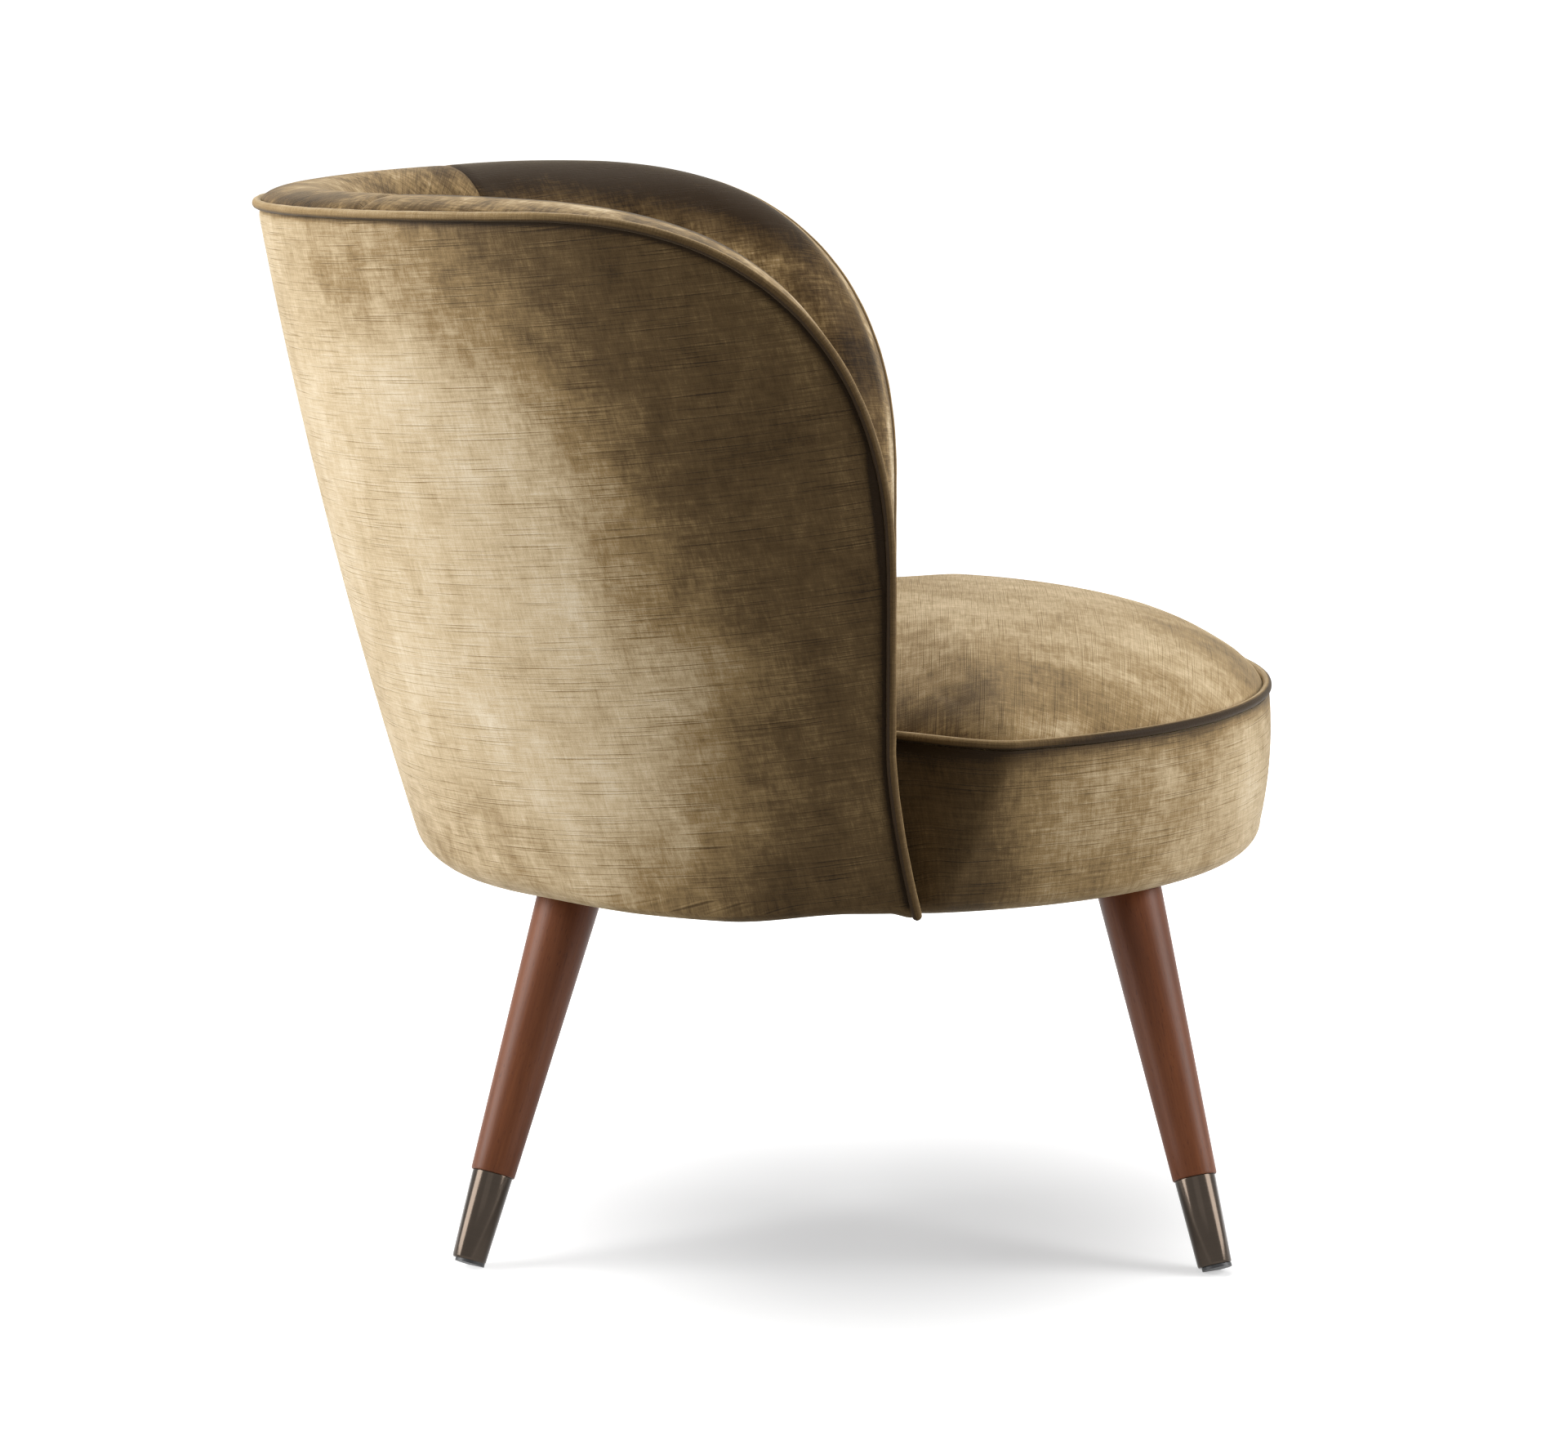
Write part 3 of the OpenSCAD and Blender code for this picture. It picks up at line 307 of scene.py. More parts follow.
# A finish wraps the node tree of a new material, or of what it is given
class Finish:
    def __init__(self, name, owner=None):
        self.made = owner or bpy.data.materials.new(name)
        self.made.use_nodes = True
        self.tree = self.made.node_tree
        self.tree.nodes.clear()

    # any node: its kind, its settings, then its sockets by name or number
    def node(self, kind, settings={}, sockets={}, out=0):
        made = self.tree.nodes.new("ShaderNode" + kind)
        for key, value in settings.items():
            if key == "stops":
                elements = made.color_ramp.elements
                for i, (at, code) in enumerate(value):
                    stop = elements[i] if i < 2 else elements.new(at)
                    stop.position, stop.color = at, (*linear(code), 1)
            else:
                setattr(made, key, value)
        for key, value in sockets.items():
            if isinstance(value, Value):
                self.tree.links.new(value.socket, made.inputs[key])
            else:
                made.inputs[key].default_value = value
        if made.outputs:
            return Value(self, made.outputs[out])

    def clothPlace(self):
        return self.node("UVMap", dict(uv_map="cloth"))

    def objectPlace(self):
        return self.node("TexCoord", out=3)

    def ray(self, kind):
        return self.node("LightPath", out=dict(camera=0, glossy=3, transmission=6)[kind])

    def larger(self, a, b):
        return self.node("Math", dict(operation="MAXIMUM"), {0: a, 1: b})

    def blend(self, low, high, share):  # low and high are colours as codes, or values
        low, high = [(*linear(c), 1) if isinstance(c, str) else c for c in (low, high)]
        return self.node("Mix", dict(data_type="RGBA"), {0: share, 6: low, 7: high}, 2)

    def band(self, value, start, end):  # 0 below start, 1 above end, smooth between
        return self.node("MapRange", dict(interpolation_type="SMOOTHSTEP"),
                         {0: value, 1: start, 2: end, 3: 0.0, 4: 1.0})

    # noise with a feature of the given lengths in metres along x, y and z of a place
    def noise(self, place, sizes, detail=2.0, shift=(0, 0, 0), rough=0.5):
        scale = tuple(1 / size for size in sizes)
        scaled = self.node("Mapping", {}, dict(Vector=place, Scale=scale, Location=shift))
        return self.node("TexNoise", {}, dict(Vector=scaled, Scale=1.0, Detail=detail, Roughness=rough))

    def bump(self, strength, distance, height):
        return self.node("Bump", {}, dict(Strength=strength, Distance=distance, Height=height))

    def surface(self, **sockets):
        names = {key.replace("_", " "): value for key, value in sockets.items()}
        self.node("OutputMaterial", {}, dict(Surface=self.node("BsdfPrincipled", {}, names)))
        return self.made


def linear(code):  # a colour written as in a paint chart, as light
    parts = [int(code[i:i + 2], 16) / 255 for i in (1, 3, 5)]
    return tuple(p / 12.92 if p <= 0.04045 else ((p + 0.055) / 1.055) ** 2.4 for p in parts)


# Slub velvet: broad nap patches, a felted hatch, a fine weave both ways, and long thin slubs with
# a painted highlight along one edge. It reads the piece's flat cloth, in metres, and its nap
# attribute, which holds brushed nap together with painted light and shade. Sizes are in metres,
# and share says how far each pattern moves the tone along the stops.
velvetLook = dict(stops=[(0.0, "#291c0d"), (0.15, "#4c3a22"), (0.30, "#614d31"), (0.52, "#937a53"),
                         (0.78, "#cab592"), (1.0, "#e6d8bf")],
                  patch=0.085, cloud=0.021, across=(0.013, 0.0028), up=(0.0030, 0.010),
                  weft=(0.048, 0.0008), warp=(0.0009, 0.014), speckle=0.0009,
                  slub=(0.075, 0.0009), slubFrom=0.64, slubTo=0.76, litBeside=-0.62,
                  share=dict(broad=0.50, cloud=0.42, hatch=0.24, weft=0.27, warp=0.17, speckle=0.16,
                             lit=0.06, dark=0.17),
                  sheen=0.38, sheenTint="#eedcb8", relief=0.0006)


def makeVelvet(name, slubs=1.0, mottled=1.0, look=velvetLook):
    f, share = Finish(name), look["share"]
    cloth = f.clothPlace()
    # the nap attribute holds brushed nap together with painted light and shade
    nap = f.node("Attribute", dict(attribute_name="nap"), out=2)
    broad = f.noise(cloth, (look["patch"],) * 3, 2.0)
    cloud = f.noise(cloth, (look["cloud"], look["cloud"] * 1.3, 1), 3.0, rough=0.6)
    hatch = f.noise(cloth, (*look["across"], 1), 2.0) + f.noise(cloth, (*look["up"], 1), 2.0)
    weft = f.noise(cloth, (*look["weft"], 1), 1.0)
    warp = f.noise(cloth, (*look["warp"], 1), 1.0)
    speckle = f.noise(cloth, (look["speckle"],) * 3, 1.0)
    # the lit copy, shifted beside each slub, is a painted highlight on its raised edge
    dark, lit = [f.band(f.noise(cloth, (*look["slub"], 1), 0.0, shift=(0, by, 0)),
                        look["slubFrom"], look["slubTo"]) * slubs for by in (0, look["litBeside"])]
    # fewer patches where the nap and its painted light and shade run dark or light
    lively = f.band(nap, -0.48, -0.12) * 0.55 + 0.45 - f.band(nap, 0.10, 0.34) * 0.38
    patches = ((broad - 0.5) * share["broad"] + (cloud - 0.5) * share["cloud"]
               + (hatch - 1.0) * share["hatch"])
    value = (0.5 + nap + patches * lively * mottled + (weft - 0.5) * share["weft"]
             + (warp - 0.5) * share["warp"] + (speckle - 0.5) * share["speckle"]
             + lit * share["lit"] - dark * share["dark"])
    colour = f.node("ValToRGB", dict(stops=look["stops"]), {0: value})
    height = weft * 0.6 + warp * 0.4 + speckle * 0.5 + lit * 0.3 - dark * 0.6
    relief = f.bump(0.5, look["relief"], height)
    return f.surface(Base_Color=colour, Roughness=0.55, Normal=relief, Specular_IOR_Level=0.09,
                     Sheen_Weight=look["sheen"], Sheen_Roughness=0.45,
                     Sheen_Tint=(*linear(look["sheenTint"]), 1))


# Stained beech: long soft grain about the leg's own line, and short dark flecks
def makeWood(name):
    f = Finish(name)
    along = f.node("Attribute", dict(attribute_name="grain"), out=1)
    grain = f.noise(along, (0.016, 0.016, 0.17), 3.0)
    fine = f.noise(along, (0.0014, 0.0014, 0.03), 2.0)
    fleck = f.band(f.noise(along, (0.0009, 0.0009, 0.006), 1.0), 0.63, 0.74)
    stops = [(0.25, "#562d16"), (0.5, "#6d3c20"), (0.75, "#824c2c")]
    stain = f.node("ValToRGB", dict(stops=stops), {0: grain * 0.75 + fine * 0.25})
    return f.surface(Base_Color=f.blend(stain, "#3a1c0c", fleck * 0.45), Roughness=0.38 + fine * 0.1,
                     Normal=f.bump(0.25, 0.0002, fine - fleck * 0.4), Specular_IOR_Level=0.22)


# Dark polished metal with faint turned rings
def makeGunmetal(name):
    f = Finish(name)
    along = f.node("Attribute", dict(attribute_name="grain"), out=1)
    rings = f.noise(along, (0.5, 0.5, 0.0006), 2.0)
    cloud = f.noise(along, (0.02, 0.02, 0.03), 2.0)
    colour = f.blend("#3c352f", "#4f463e", rings * 0.5 + cloud * 0.5)
    return f.surface(Base_Color=colour, Metallic=1.0, Roughness=0.13 + rings * 0.05 + cloud * 0.04)


# Carried-over solids: soft clouds of one size each way, on Object coordinates
def makePlain(name, low, high, size, roughness=0.6, metallic=0.0, relief=0.0003):
    f = Finish(name)
    cloud = f.noise(f.objectPlace(), (size,) * 3, 3.0)
    fine = f.noise(f.objectPlace(), (size * 0.12,) * 3, 2.0)
    colour = f.blend(low, high, f.band(cloud * 0.7 + fine * 0.3, 0.3, 0.7))
    return f.surface(Base_Color=colour, Roughness=roughness - 0.08 + fine * 0.16, Metallic=metallic,
                     Normal=f.bump(0.3, relief, fine))


# Birch plywood: thin layers of lighter and darker veneer, level ones in the rings
def makePlywood(name):
    f = Finish(name)
    grain = f.noise(f.objectPlace(), (0.11, 0.006, 0.006), 3.0)
    layers = f.noise(f.objectPlace(), (0.6, 0.6, 0.0015), 0.0)
    colour = f.blend("#c9a877", "#e2c898", f.band(grain * 0.6 + layers * 0.4, 0.35, 0.65))
    return f.surface(Base_Color=colour, Roughness=0.6 + grain * 0.15, Normal=f.bump(0.2, 0.0003, grain))


# Black spunbond under the seat: a fine pressed dot pattern
def makeUnderCloth(name):
    f = Finish(name)
    cloth = f.clothPlace()
    fibres = f.noise(cloth, (0.002, 0.002, 1), 4.0)
    dots = f.node("TexVoronoi", dict(feature="F1"), dict(Vector=cloth, Scale=700.0, Randomness=0.0))
    pressed = f.band(dots, 0.2, 0.42)
    return f.surface(Base_Color=f.blend("#1c1c1d", "#34343a", fibres * 0.7 + pressed * 0.3),
                     Roughness=0.85, Normal=f.bump(0.4, 0.0003, fibres * 0.6 + pressed * 0.6))


# Jute webbing: a coarse plain weave
def makeWebbing(name):
    f = Finish(name)
    weft = f.noise(f.clothPlace(), (0.0012, 0.006, 1), 2.0)
    warp = f.noise(f.clothPlace(), (0.008, 0.0014, 1), 2.0)
    colour = f.blend("#8d6f44", "#c6a877", f.band(weft * 0.5 + warp * 0.5, 0.36, 0.64))
    return f.surface(Base_Color=colour, Roughness=0.85, Normal=f.bump(0.6, 0.0006, weft + warp))


velvet = makeVelvet("velvet")
velvetPad = makeVelvet("velvetPad", slubs=0.7, mottled=1.8, look=dict(velvetLook, sheen=0.14))
velvetSeat = makeVelvet("velvetSeat", slubs=0.6)
velvetPiping = makeVelvet("velvetPiping", slubs=0.0, mottled=0.3, look=dict(velvetLook, sheen=0.12))
wood = makeWood("stainedBeech")
gunmetal = makeGunmetal("gunmetal")
underCloth = makeUnderCloth("blackSpunbond")
webbing = makeWebbing("juteWebbing")
plywood = makePlywood("birchPlywood")
steel = makePlain("zincSteel", "#8f9296", "#c3c6ca", 0.012, 0.32, 1.0, 0.0001)
blackPlastic = makePlain("blackPlastic", "#151516", "#2a2a2c", 0.006, 0.45)
fibreboard = makePlain("fibreboard", "#7d6245", "#9a7d5b", 0.01, 0.75)
print("materials made:", len(bpy.data.materials))


# The back's pad, in three panels, over the plywood's edge
pad = dict(rim=70.0, seat=64.0, foot=17.0, crown=11.0, wingCrown=3.0, nose=38.0, share=0.55,
           start=3.7, lumbar=10.0, tuck=62.0, tailFrom=78.0, tailRun=14.0, tailGap=2.5, groove=2.2,
           grooveWidth=3.2, spacing=4.5, rows=(12, 14, 64), seamRun=14.0, cap=0.003, pressure=0.6)
ply = dict(edge=10.0, gap=3.0, face=1.9, inner=11.4, clear=0.3)


def padDepth(t, z):  # thin at the wings' foot, full from the seat up, with a gentle lumbar swell
    up = clip((z - chair["seat"]) / (chair["rim"] - chair["seat"]))
    return (mix(pad["foot"], mix(pad["seat"], pad["rim"], up), belowSeat(z) ** 1.3)
            + pad["lumbar"] * np.cos(np.radians(t)) ** 2 * np.sin(math.pi * up))


tailAngle = float(edgeAngle(chair["wingFoot"]) - aroundBy(ply["edge"] + ply["gap"]) - pad["tailGap"])


def tailOf(q):  # where the line down the pad from rim step q ends
    a = np.abs(q)
    beyond = mix(chair["seam"], tailAngle, (a - seamStep) / (endStep - seamStep))
    t = np.where(a <= seamStep, chair["seam"] * a / seamStep, beyond) * np.sign(q)
    byWing = ramp(np.abs(t), pad["tailFrom"], pad["tailRun"])
    return t, mix(chair["seat"] - pad["tuck"], chair["wingFoot"], byWing)


# v from 0 to 1 climbs the outer flank from the piping, 1 to 2 rolls over the crown to the inner
# face, 2 to 3 runs straight down it. On the first two the distance in from the edge and the depth
# follow quarter turns about the pad's middle: e = -crown sin v, d = middle - reach cos v. It
# returns the face, the rear behind it, the cloth, and the face's angles and heights.
def padGrid(q, v, off):
    q, v = grid(q, v)
    t, z, forward, upward, crown = rimAt(q)
    nose = np.minimum(pad["nose"], np.maximum(pad["share"] * padDepth(t, z), ply["edge"] + ply["gap"]))
    t0, z0 = t - aroundBy(nose * forward), z - nose * upward
    deep = padDepth(t0, z0)
    middle = (pad["start"] + deep) / 2
    a = np.minimum(v, 2) * math.pi / 2
    outer = v < 1
    e = np.where(outer, off - crown * np.sin(a), mix(nose, off - crown, np.sin(a)))
    d = middle - np.where(outer, middle - pad["start"], deep - off - middle) * np.cos(a)
    tailT, tailZ = tailOf(q)
    f = clip(v - 2)
    faceT, faceZ = mix(t0, tailT, f), mix(z0, tailZ, f)
    onFace = v > 2

    def lineIn(e):  # angles and heights at a distance in from the edge, or down the face
        return (np.where(onFace, faceT, t - aroundBy(e * forward)),
                np.where(onFace, faceZ, z - e * upward))

    useT, useZ = lineIn(e)
    face = onBack(useT, useZ, np.where(onFace, padDepth(faceT, faceZ) - off, d))
    rearE = mix(ply["edge"] - ply["clear"], nose, clip(v - 1))
    rear = onBack(*lineIn(rearE), mix(ply["face"], ply["inner"], clip(v)))
    steps = np.linalg.norm(np.diff(face, axis=1), axis=2)
    run = np.concatenate([np.zeros((len(q), 1)), np.cumsum(steps, 1)], 1)
    turned = run[:, [np.searchsorted(v[0], 2.0)]]  # length of cloth from the piping to the face
    over = np.maximum(turned - run, 0) * (v < 2)
    cloth = clothAt(np.where(v < 2, t0, faceT), np.where(v < 2, z0, faceZ), over, forward, upward)
    return face, rear, cloth, useT, useZ


def padPiece(name, first, last, seams, turnCloth, nap, *nodes):
    q = evenSteps(first, last, pad["spacing"])
    v = np.concatenate([np.linspace(i, i + 1, n)[:-1] for i, n in enumerate(pad["rows"])] + [[3]])
    run = runAlong(onBack(*rimAt(q)[:2], 0))
    off = sum(pad["groove"] * bell(run if end < 0 else run[-1] - run, 0, pad["grooveWidth"])
              for end in seams)  # the cloth dips into a sewn seam
    face, rear, cloth, useT, useZ = padGrid(q, v, off[:, None])
    c, s = math.cos(turnCloth), math.sin(turnCloth)
    cloth = cloth @ np.array([[c, -s], [s, c]])
    # brushed nap and painted light and shade for each point, from the panel's shading function
    shadeAndNap = nap(useT, useZ, v[None, :])
    piece = skin(name, shell(face, rear), "strips", shell(cloth, cloth),
                 velvetPad, "velvet", nap=shell(shadeAndNap, shadeAndNap))
    fromSeams = ramp(np.minimum(run, run[-1] - run), 0, pad["seamRun"])[:, None]
    free = fromSeams * (ramp(v, 0.25, 0.5) * ramp(v, 2.97, -0.12))[None, :]
    swell(piece, shell(free, free * 0).ravel(), pad["cap"], pad["pressure"])
    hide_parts(*nodes)


# Brushed nap and painted light and shade, added to the tone: below 0 darker, above 0 lighter
# painted shade on the flank beside the piping, and a painted highlight on the crown
def flankShade(v):  # the flank beside the piping is darker than the crown
    return -0.18 * bell(v, 0.15, 0.35) + 0.10 * bell(v, 0.95, 0.3)


# the centre panel: the flank's painted shade and highlight, darker over the inner face, a little darker
# round 520 mm and lighter round 660 mm
def centreShading(t, z, v):
    return flankShade(v) - 0.15 * ramp(v, 0.1, 0.3) - 0.04 * bell(z, 520, 90) + 0.06 * bell(z, 660, 30)


# painted shade above a slanting line near the rim, painted light just below it, darker again by the
# front edge
wingShade = dict(line=692.0, slope=0.15, frontSlope=1.45, frontFrom=65.0, dark=0.44, fade=46.0,
                 all=0.12, edge=[(-0.16, 99.5, 3.5, 570, 38)])


def wingShading(t, z, v):
    a = np.abs(t)
    past = a - wingShade["frontFrom"]
    slope = np.where(past > 0, wingShade["frontSlope"], wingShade["slope"])
    above = z - wingShade["line"] + slope * past
    # painted shade and light on the inner face, and painted shade on the roll over the crown
    inner = (-wingShade["dark"] * ramp(above, -26, wingShade["fade"]) + 0.04 * bell(above, -34, 26)
             - wingShade["all"] + spots(a, z, wingShade["edge"]) - 0.10 * bell(v, 1.3, 0.5))
    return mix(flankShade(v), inner, ramp(v, 0.8, 0.25))


padPiece("padCentre", -seamStep, seamStep, (-1, 1), 0.55, centreShading, "back_panel_centre", "back_foam")
padPiece("padLeft", -endStep, -seamStep, (1,), 0.0, wingShading, "back_panel_left")
padPiece("padRight", seamStep, endStep, (-1,), 0.0, wingShading, "back_panel_right")
print("back pad made")


# The tub's outer cover: one stretched sheet, turned under at its foot and tucked in beside the
# piping. Lines run from the hem up to the rim, closer together towards the wings.
outer = dict(edge=4.0, tuck=1.5, tuckRun=9.0, cloth=1.6, foot=240.0 - 0.3, corner=18.0, wingCorner=6.0,
             hem=6.0, hemCloth=36.0, turnCloth=30.0, lines=3.5, dense=0.93, rows=(80, 16), plate=259.0,
             sideLift=4.6, sideFrom=24.0, sideRun=38.0, wingLift=7.6, wingFrom=75.0, wingRun=17.0,
             tip=3.0, tipRun=14.0, faraway=99.0)


def shareOf(q):  # each line keeps its share of the way round to the wing's edge
    a, whole = np.abs(q), float(edgeAngle(chair["corner"]))
    onCorner = mix(levelEnd / whole, 1.0, (a - levelStep) / (wingStep - levelStep))
    return np.sign(q) * np.where(a <= levelStep, np.abs(rimAt(q)[0]) / whole, onCorner)


def plateEdge(z, e):
    return edgeAngle(np.minimum(z, chair["corner"])) - aroundBy(e)


# the foot climbs a little round the sides, more at the wings, and dips to the piping's end
def footAt(t, toEdge):
    return (outer["foot"] + outer["sideLift"] * ramp(t, outer["sideFrom"], outer["sideRun"])
            + outer["wingLift"] * ramp(t, outer["wingFrom"], outer["wingRun"])
            - outer["tip"] * ramp(toEdge, outer["tipRun"], -outer["tipRun"]))


# Three runs of each line: the hem inwards, a quarter turn of radius r about the foot, and the
# plate from there to the rim on the tub's surface, at the line's share of the edge's angle
def outerGrid(q, rows, depth):
    t, z, forward, upward, _ = rimAt(q)
    share = shareOf(q)
    top, e = z - outer["edge"] * upward, outer["edge"]
    lean = (t - aroundBy(e * forward)) - share * plateEdge(chair["corner"], e)
    f, share, top, up = rows[None, :], share[:, None], top[:, None], upward[:, None]
    zs = mix(outer["plate"], top, f)
    ts = share * plateEdge(zs, e) + lean[:, None] * f
    upwards = up > 0.02  # elsewhere the line ends at the front edge, and the rim above is far away
    edge = np.minimum(np.where(upwards, (top - zs) * up, (top - zs) * 0.02 + outer["faraway"]),
                      np.radians(plateEdge(zs, e) - np.abs(ts)) * chair["seatRadius"])
    toEdge = np.maximum(edge, 0)
    tucked = outer["tuck"] * ramp(toEdge, outer["tuckRun"], -outer["tuckRun"]) ** 2
    plate = onBack(ts, zs, depth + tucked)
    r = mix(outer["corner"], outer["wingCorner"], ramp(np.abs(share), 0.45, 0.2))
    a = np.radians(np.linspace(90, 6, 10))[None, :]
    across = np.abs(share * plateEdge(outer["foot"], e))
    ground = footAt(across, np.radians(plateEdge(outer["foot"], e) - across) * chair["seatRadius"])
    low = ground + r - (r - depth) * np.sin(a)
    foot = share * plateEdge(low, e)
    under = onBack(foot, low, r - (r - depth) * np.cos(a))
    hem = onBack(foot[:, :1], ground + depth, r + outer["hem"])
    turned = chair["plyFoot"] - outer["turnCloth"] * a / math.pi * 2
    cloth = np.concatenate([clothAt(foot[:, :1], chair["plyFoot"] - outer["hemCloth"]),
                            clothAt(foot, turned), clothAt(ts, zs)], 1)
    toPiping = np.concatenate([np.full((len(q), a.size + 1), outer["faraway"]), toEdge], 1)
    angles = np.concatenate([foot[:, :1], foot, ts], 1)
    heights = np.concatenate([low[:, :1], low, zs], 1)
    return np.concatenate([hem, under, plate], 1), cloth, toPiping, np.abs(angles), heights


q = evenSteps(-wingStep, wingStep, outer["lines"])
dense, (below, above) = outer["dense"], outer["rows"]  # rows lie closer together near the rim
rows = np.concatenate([np.linspace(0, dense, below)[:-1], np.linspace(dense, 1, above)])
face, cloth, toPiping, turn, height = outerGrid(q, rows, 0.0)
rear = outerGrid(q, rows, outer["cloth"])[0]
# brushed nap with painted light and shade: light at the back, dark over the wings beyond a line
# that leans back as it rises, a little painted shade at the foot and the top, and painted shade in
# the crease beside the piping
shade = dict(back=0.29, wing=0.545, foot=0.20, crease=0.46, creaseWidth=2.7, top=0.10,
             lineHeights=[240, 312, 400, 550, 630, 705], lineAngles=[64, 76, 80, 68, 61, 51],
             patches=[(-0.15, 36, 9, 662, 28), (0.10, 44, 14, 598, 26)])
line = np.interp(height, shade["lineHeights"], shade["lineAngles"])
shadeAndNap = (shade["back"] - shade["wing"] * ramp(turn, line - 18, 36)
           - shade["foot"] * ramp(height, 340, -90) * ramp(turn, 66, -30)
           - shade["crease"] * bell(toPiping, 0, shade["creaseWidth"])
           - shade["top"] * ramp(height, 560, 80) * bell(turn, 44, 22)
           + spots(turn, height, shade["patches"]))
one, other = cloth[1:, 1:] - cloth[:-1, :-1], cloth[1:, :-1] - cloth[:-1, 1:]
cutArea = 0.5 * float(np.abs(one[..., 0] * other[..., 1] - one[..., 1] * other[..., 0]).sum()) * 1e-6
outerVelvet = skin("outerVelvet", shell(face, rear), "strips", shell(cloth, cloth),
                   velvet, "velvet", nap=shell(shadeAndNap, shadeAndNap))
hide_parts("back_outer_cover")


# Piping: a round tube on a path, each ring square to it, its ends rounded or joined
piping = dict(radius=3.25, inside=1.0, spacing=2.6, sides=20, clear=0.3)
tubeAngles = np.radians(np.arange(piping["sides"]) * 360 / piping["sides"] + 180)


def tube(path, outs, radius, closed):
    ahead = np.roll(path, -1, 0) - np.roll(path, 1, 0)
    if not closed:
        ahead[0], ahead[-1] = path[1] - path[0], path[-1] - path[-2]
    ahead /= np.linalg.norm(ahead, axis=1, keepdims=True)
    across = outs - np.sum(outs * ahead, 1, keepdims=True) * ahead
    across /= np.linalg.norm(across, axis=1, keepdims=True)
    third = np.cross(across, ahead)
    a = tubeAngles[None, :, None]
    reach = np.broadcast_to(radius, len(path))[:, None, None]
    around = (tubeAngles - math.pi) * np.max(radius)
    points = path[:, None] + reach * (np.cos(a) * across[:, None] + np.sin(a) * third[:, None])
    return points, stacked(runAlong(path)[:, None], around[None, :])


def uneven(a, b):  # a hand-sewn tube's radius, from two waves along it
    return piping["radius"] * (1 + 0.018 * np.sin(a) + 0.014 * np.sin(b + 1))


# painted light on its upper side, painted shade below, outwards, and inwards where it lies on the cover
def pipingShade(outward, inward=(0.0,)):
    up, out = np.sin(tubeAngles), np.cos(tubeAngles)
    return (0.03 - 0.13 * up - 0.42 * ramp(up, 0.3, 0.6)
            - np.asarray(outward)[:, None] * ramp(out, -0.1, 0.8)
            - np.asarray(inward)[:, None] * ramp(-out, 0.1, 0.6))


q = evenSteps(-endStep, endStep, piping["spacing"])
t, z, forward, upward, _ = rimAt(q)
low = chair["wingFoot"] - np.array([1.0, 2.0, 3.0])  # it runs on a little past the wings' feet
downT = edgeAngle(low)
t = np.concatenate([-downT[::-1], t, downT])
z = np.concatenate([low[::-1], z, low])
forward = np.concatenate([-np.ones(3), forward, np.ones(3)])
upward = np.pad(upward, 3)
path = onBack(t - aroundBy(piping["inside"] * forward), z - piping["inside"] * upward, 0)
run = runAlong(path)
toEnd = np.minimum(run, run[-1] - run)
rounding = np.sqrt(clip(1 - (1 - clip((toEnd + 0.3) / 3.3)) ** 2))
points, cloth = tube(path, level(t, 1, 0), uneven(run * 0.21, run * 0.083) * rounding, False)
a = np.abs(t)
# painted light and shade on the back's piping
shadeAndNap = pipingShade(0.05 + 0.25 * ramp(a, 58, 25), 0.40 * ramp(a, 46, 20))
backPiping = skin("backPiping", points, "poles", cloth, velvetPiping, "velvet_piping", nap=shadeAndNap)
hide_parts("back_piping")


# The seat's outline: a swelling drum in front, drawn in beside the wings' pads behind
seat = dict(bulge=6.0, bulgeDrop=35.0, bulgeHalf=60.0, corner=17.0, rearCorner=8.0, neck=97.5,
            neckLow=5.0, neckHigh=15.0, gap=4.0, base=247.0, crown=60.0, peak=30.0, flat=3.3,
            round=0.78, foam=351.75, hem=12.0, frameLow=267.0, frameHigh=239.5, frameTop=344.75,
            ringBase=246.6, clear=0.3, lines=300, dense=0.86, rings=(46, 30), neckInset=12.0,
            cap=0.004, pressure=4.0)
gathers = dict(height=0.55, at=0.965, width=0.025, waves=((47, 0), (71, 2), (113, 4)))


def sideRadius(z):  # fullest a little under the seat's line
    off = np.maximum(z, seat["base"] + seat["corner"]) - chair["seat"] + seat["bulgeDrop"]
    return chair["seatRadius"] - seat["bulge"] * (off / seat["bulgeHalf"]) ** 2


def neckAt(t, z):  # 0 beside the pads, 1 round the open front
    return ramp(offBack(t), seat["neck"], mix(seat["neckLow"], seat["neckHigh"], belowSeat(z)))


def outline(t, z, inset):  # from the pad's face, less a gap, to the drum's radius, by the neck's share
    a, k, r = np.radians(t), neckAt(t, z), sideRadius(z)
    q = onBack(t, z, padDepth(t, z) + seat["gap"])
    return stacked(mix(q[..., 0], r * np.sin(a), k) - inset * np.sin(a),
                   mix(q[..., 1], r * np.cos(a), k) - inset * np.cos(a), z)


def seatAngles(count):  # closer together where the outline draws in
    t = np.linspace(0, 360, 1441)
    weight = 1 + 2.5 * bell(offBack(t), 104, 9)
    run = np.concatenate([[0], np.cumsum((weight[1:] + weight[:-1]) / 2)])
    return np.interp(np.linspace(0, run[-1], count + 1)[:-1], run, t)


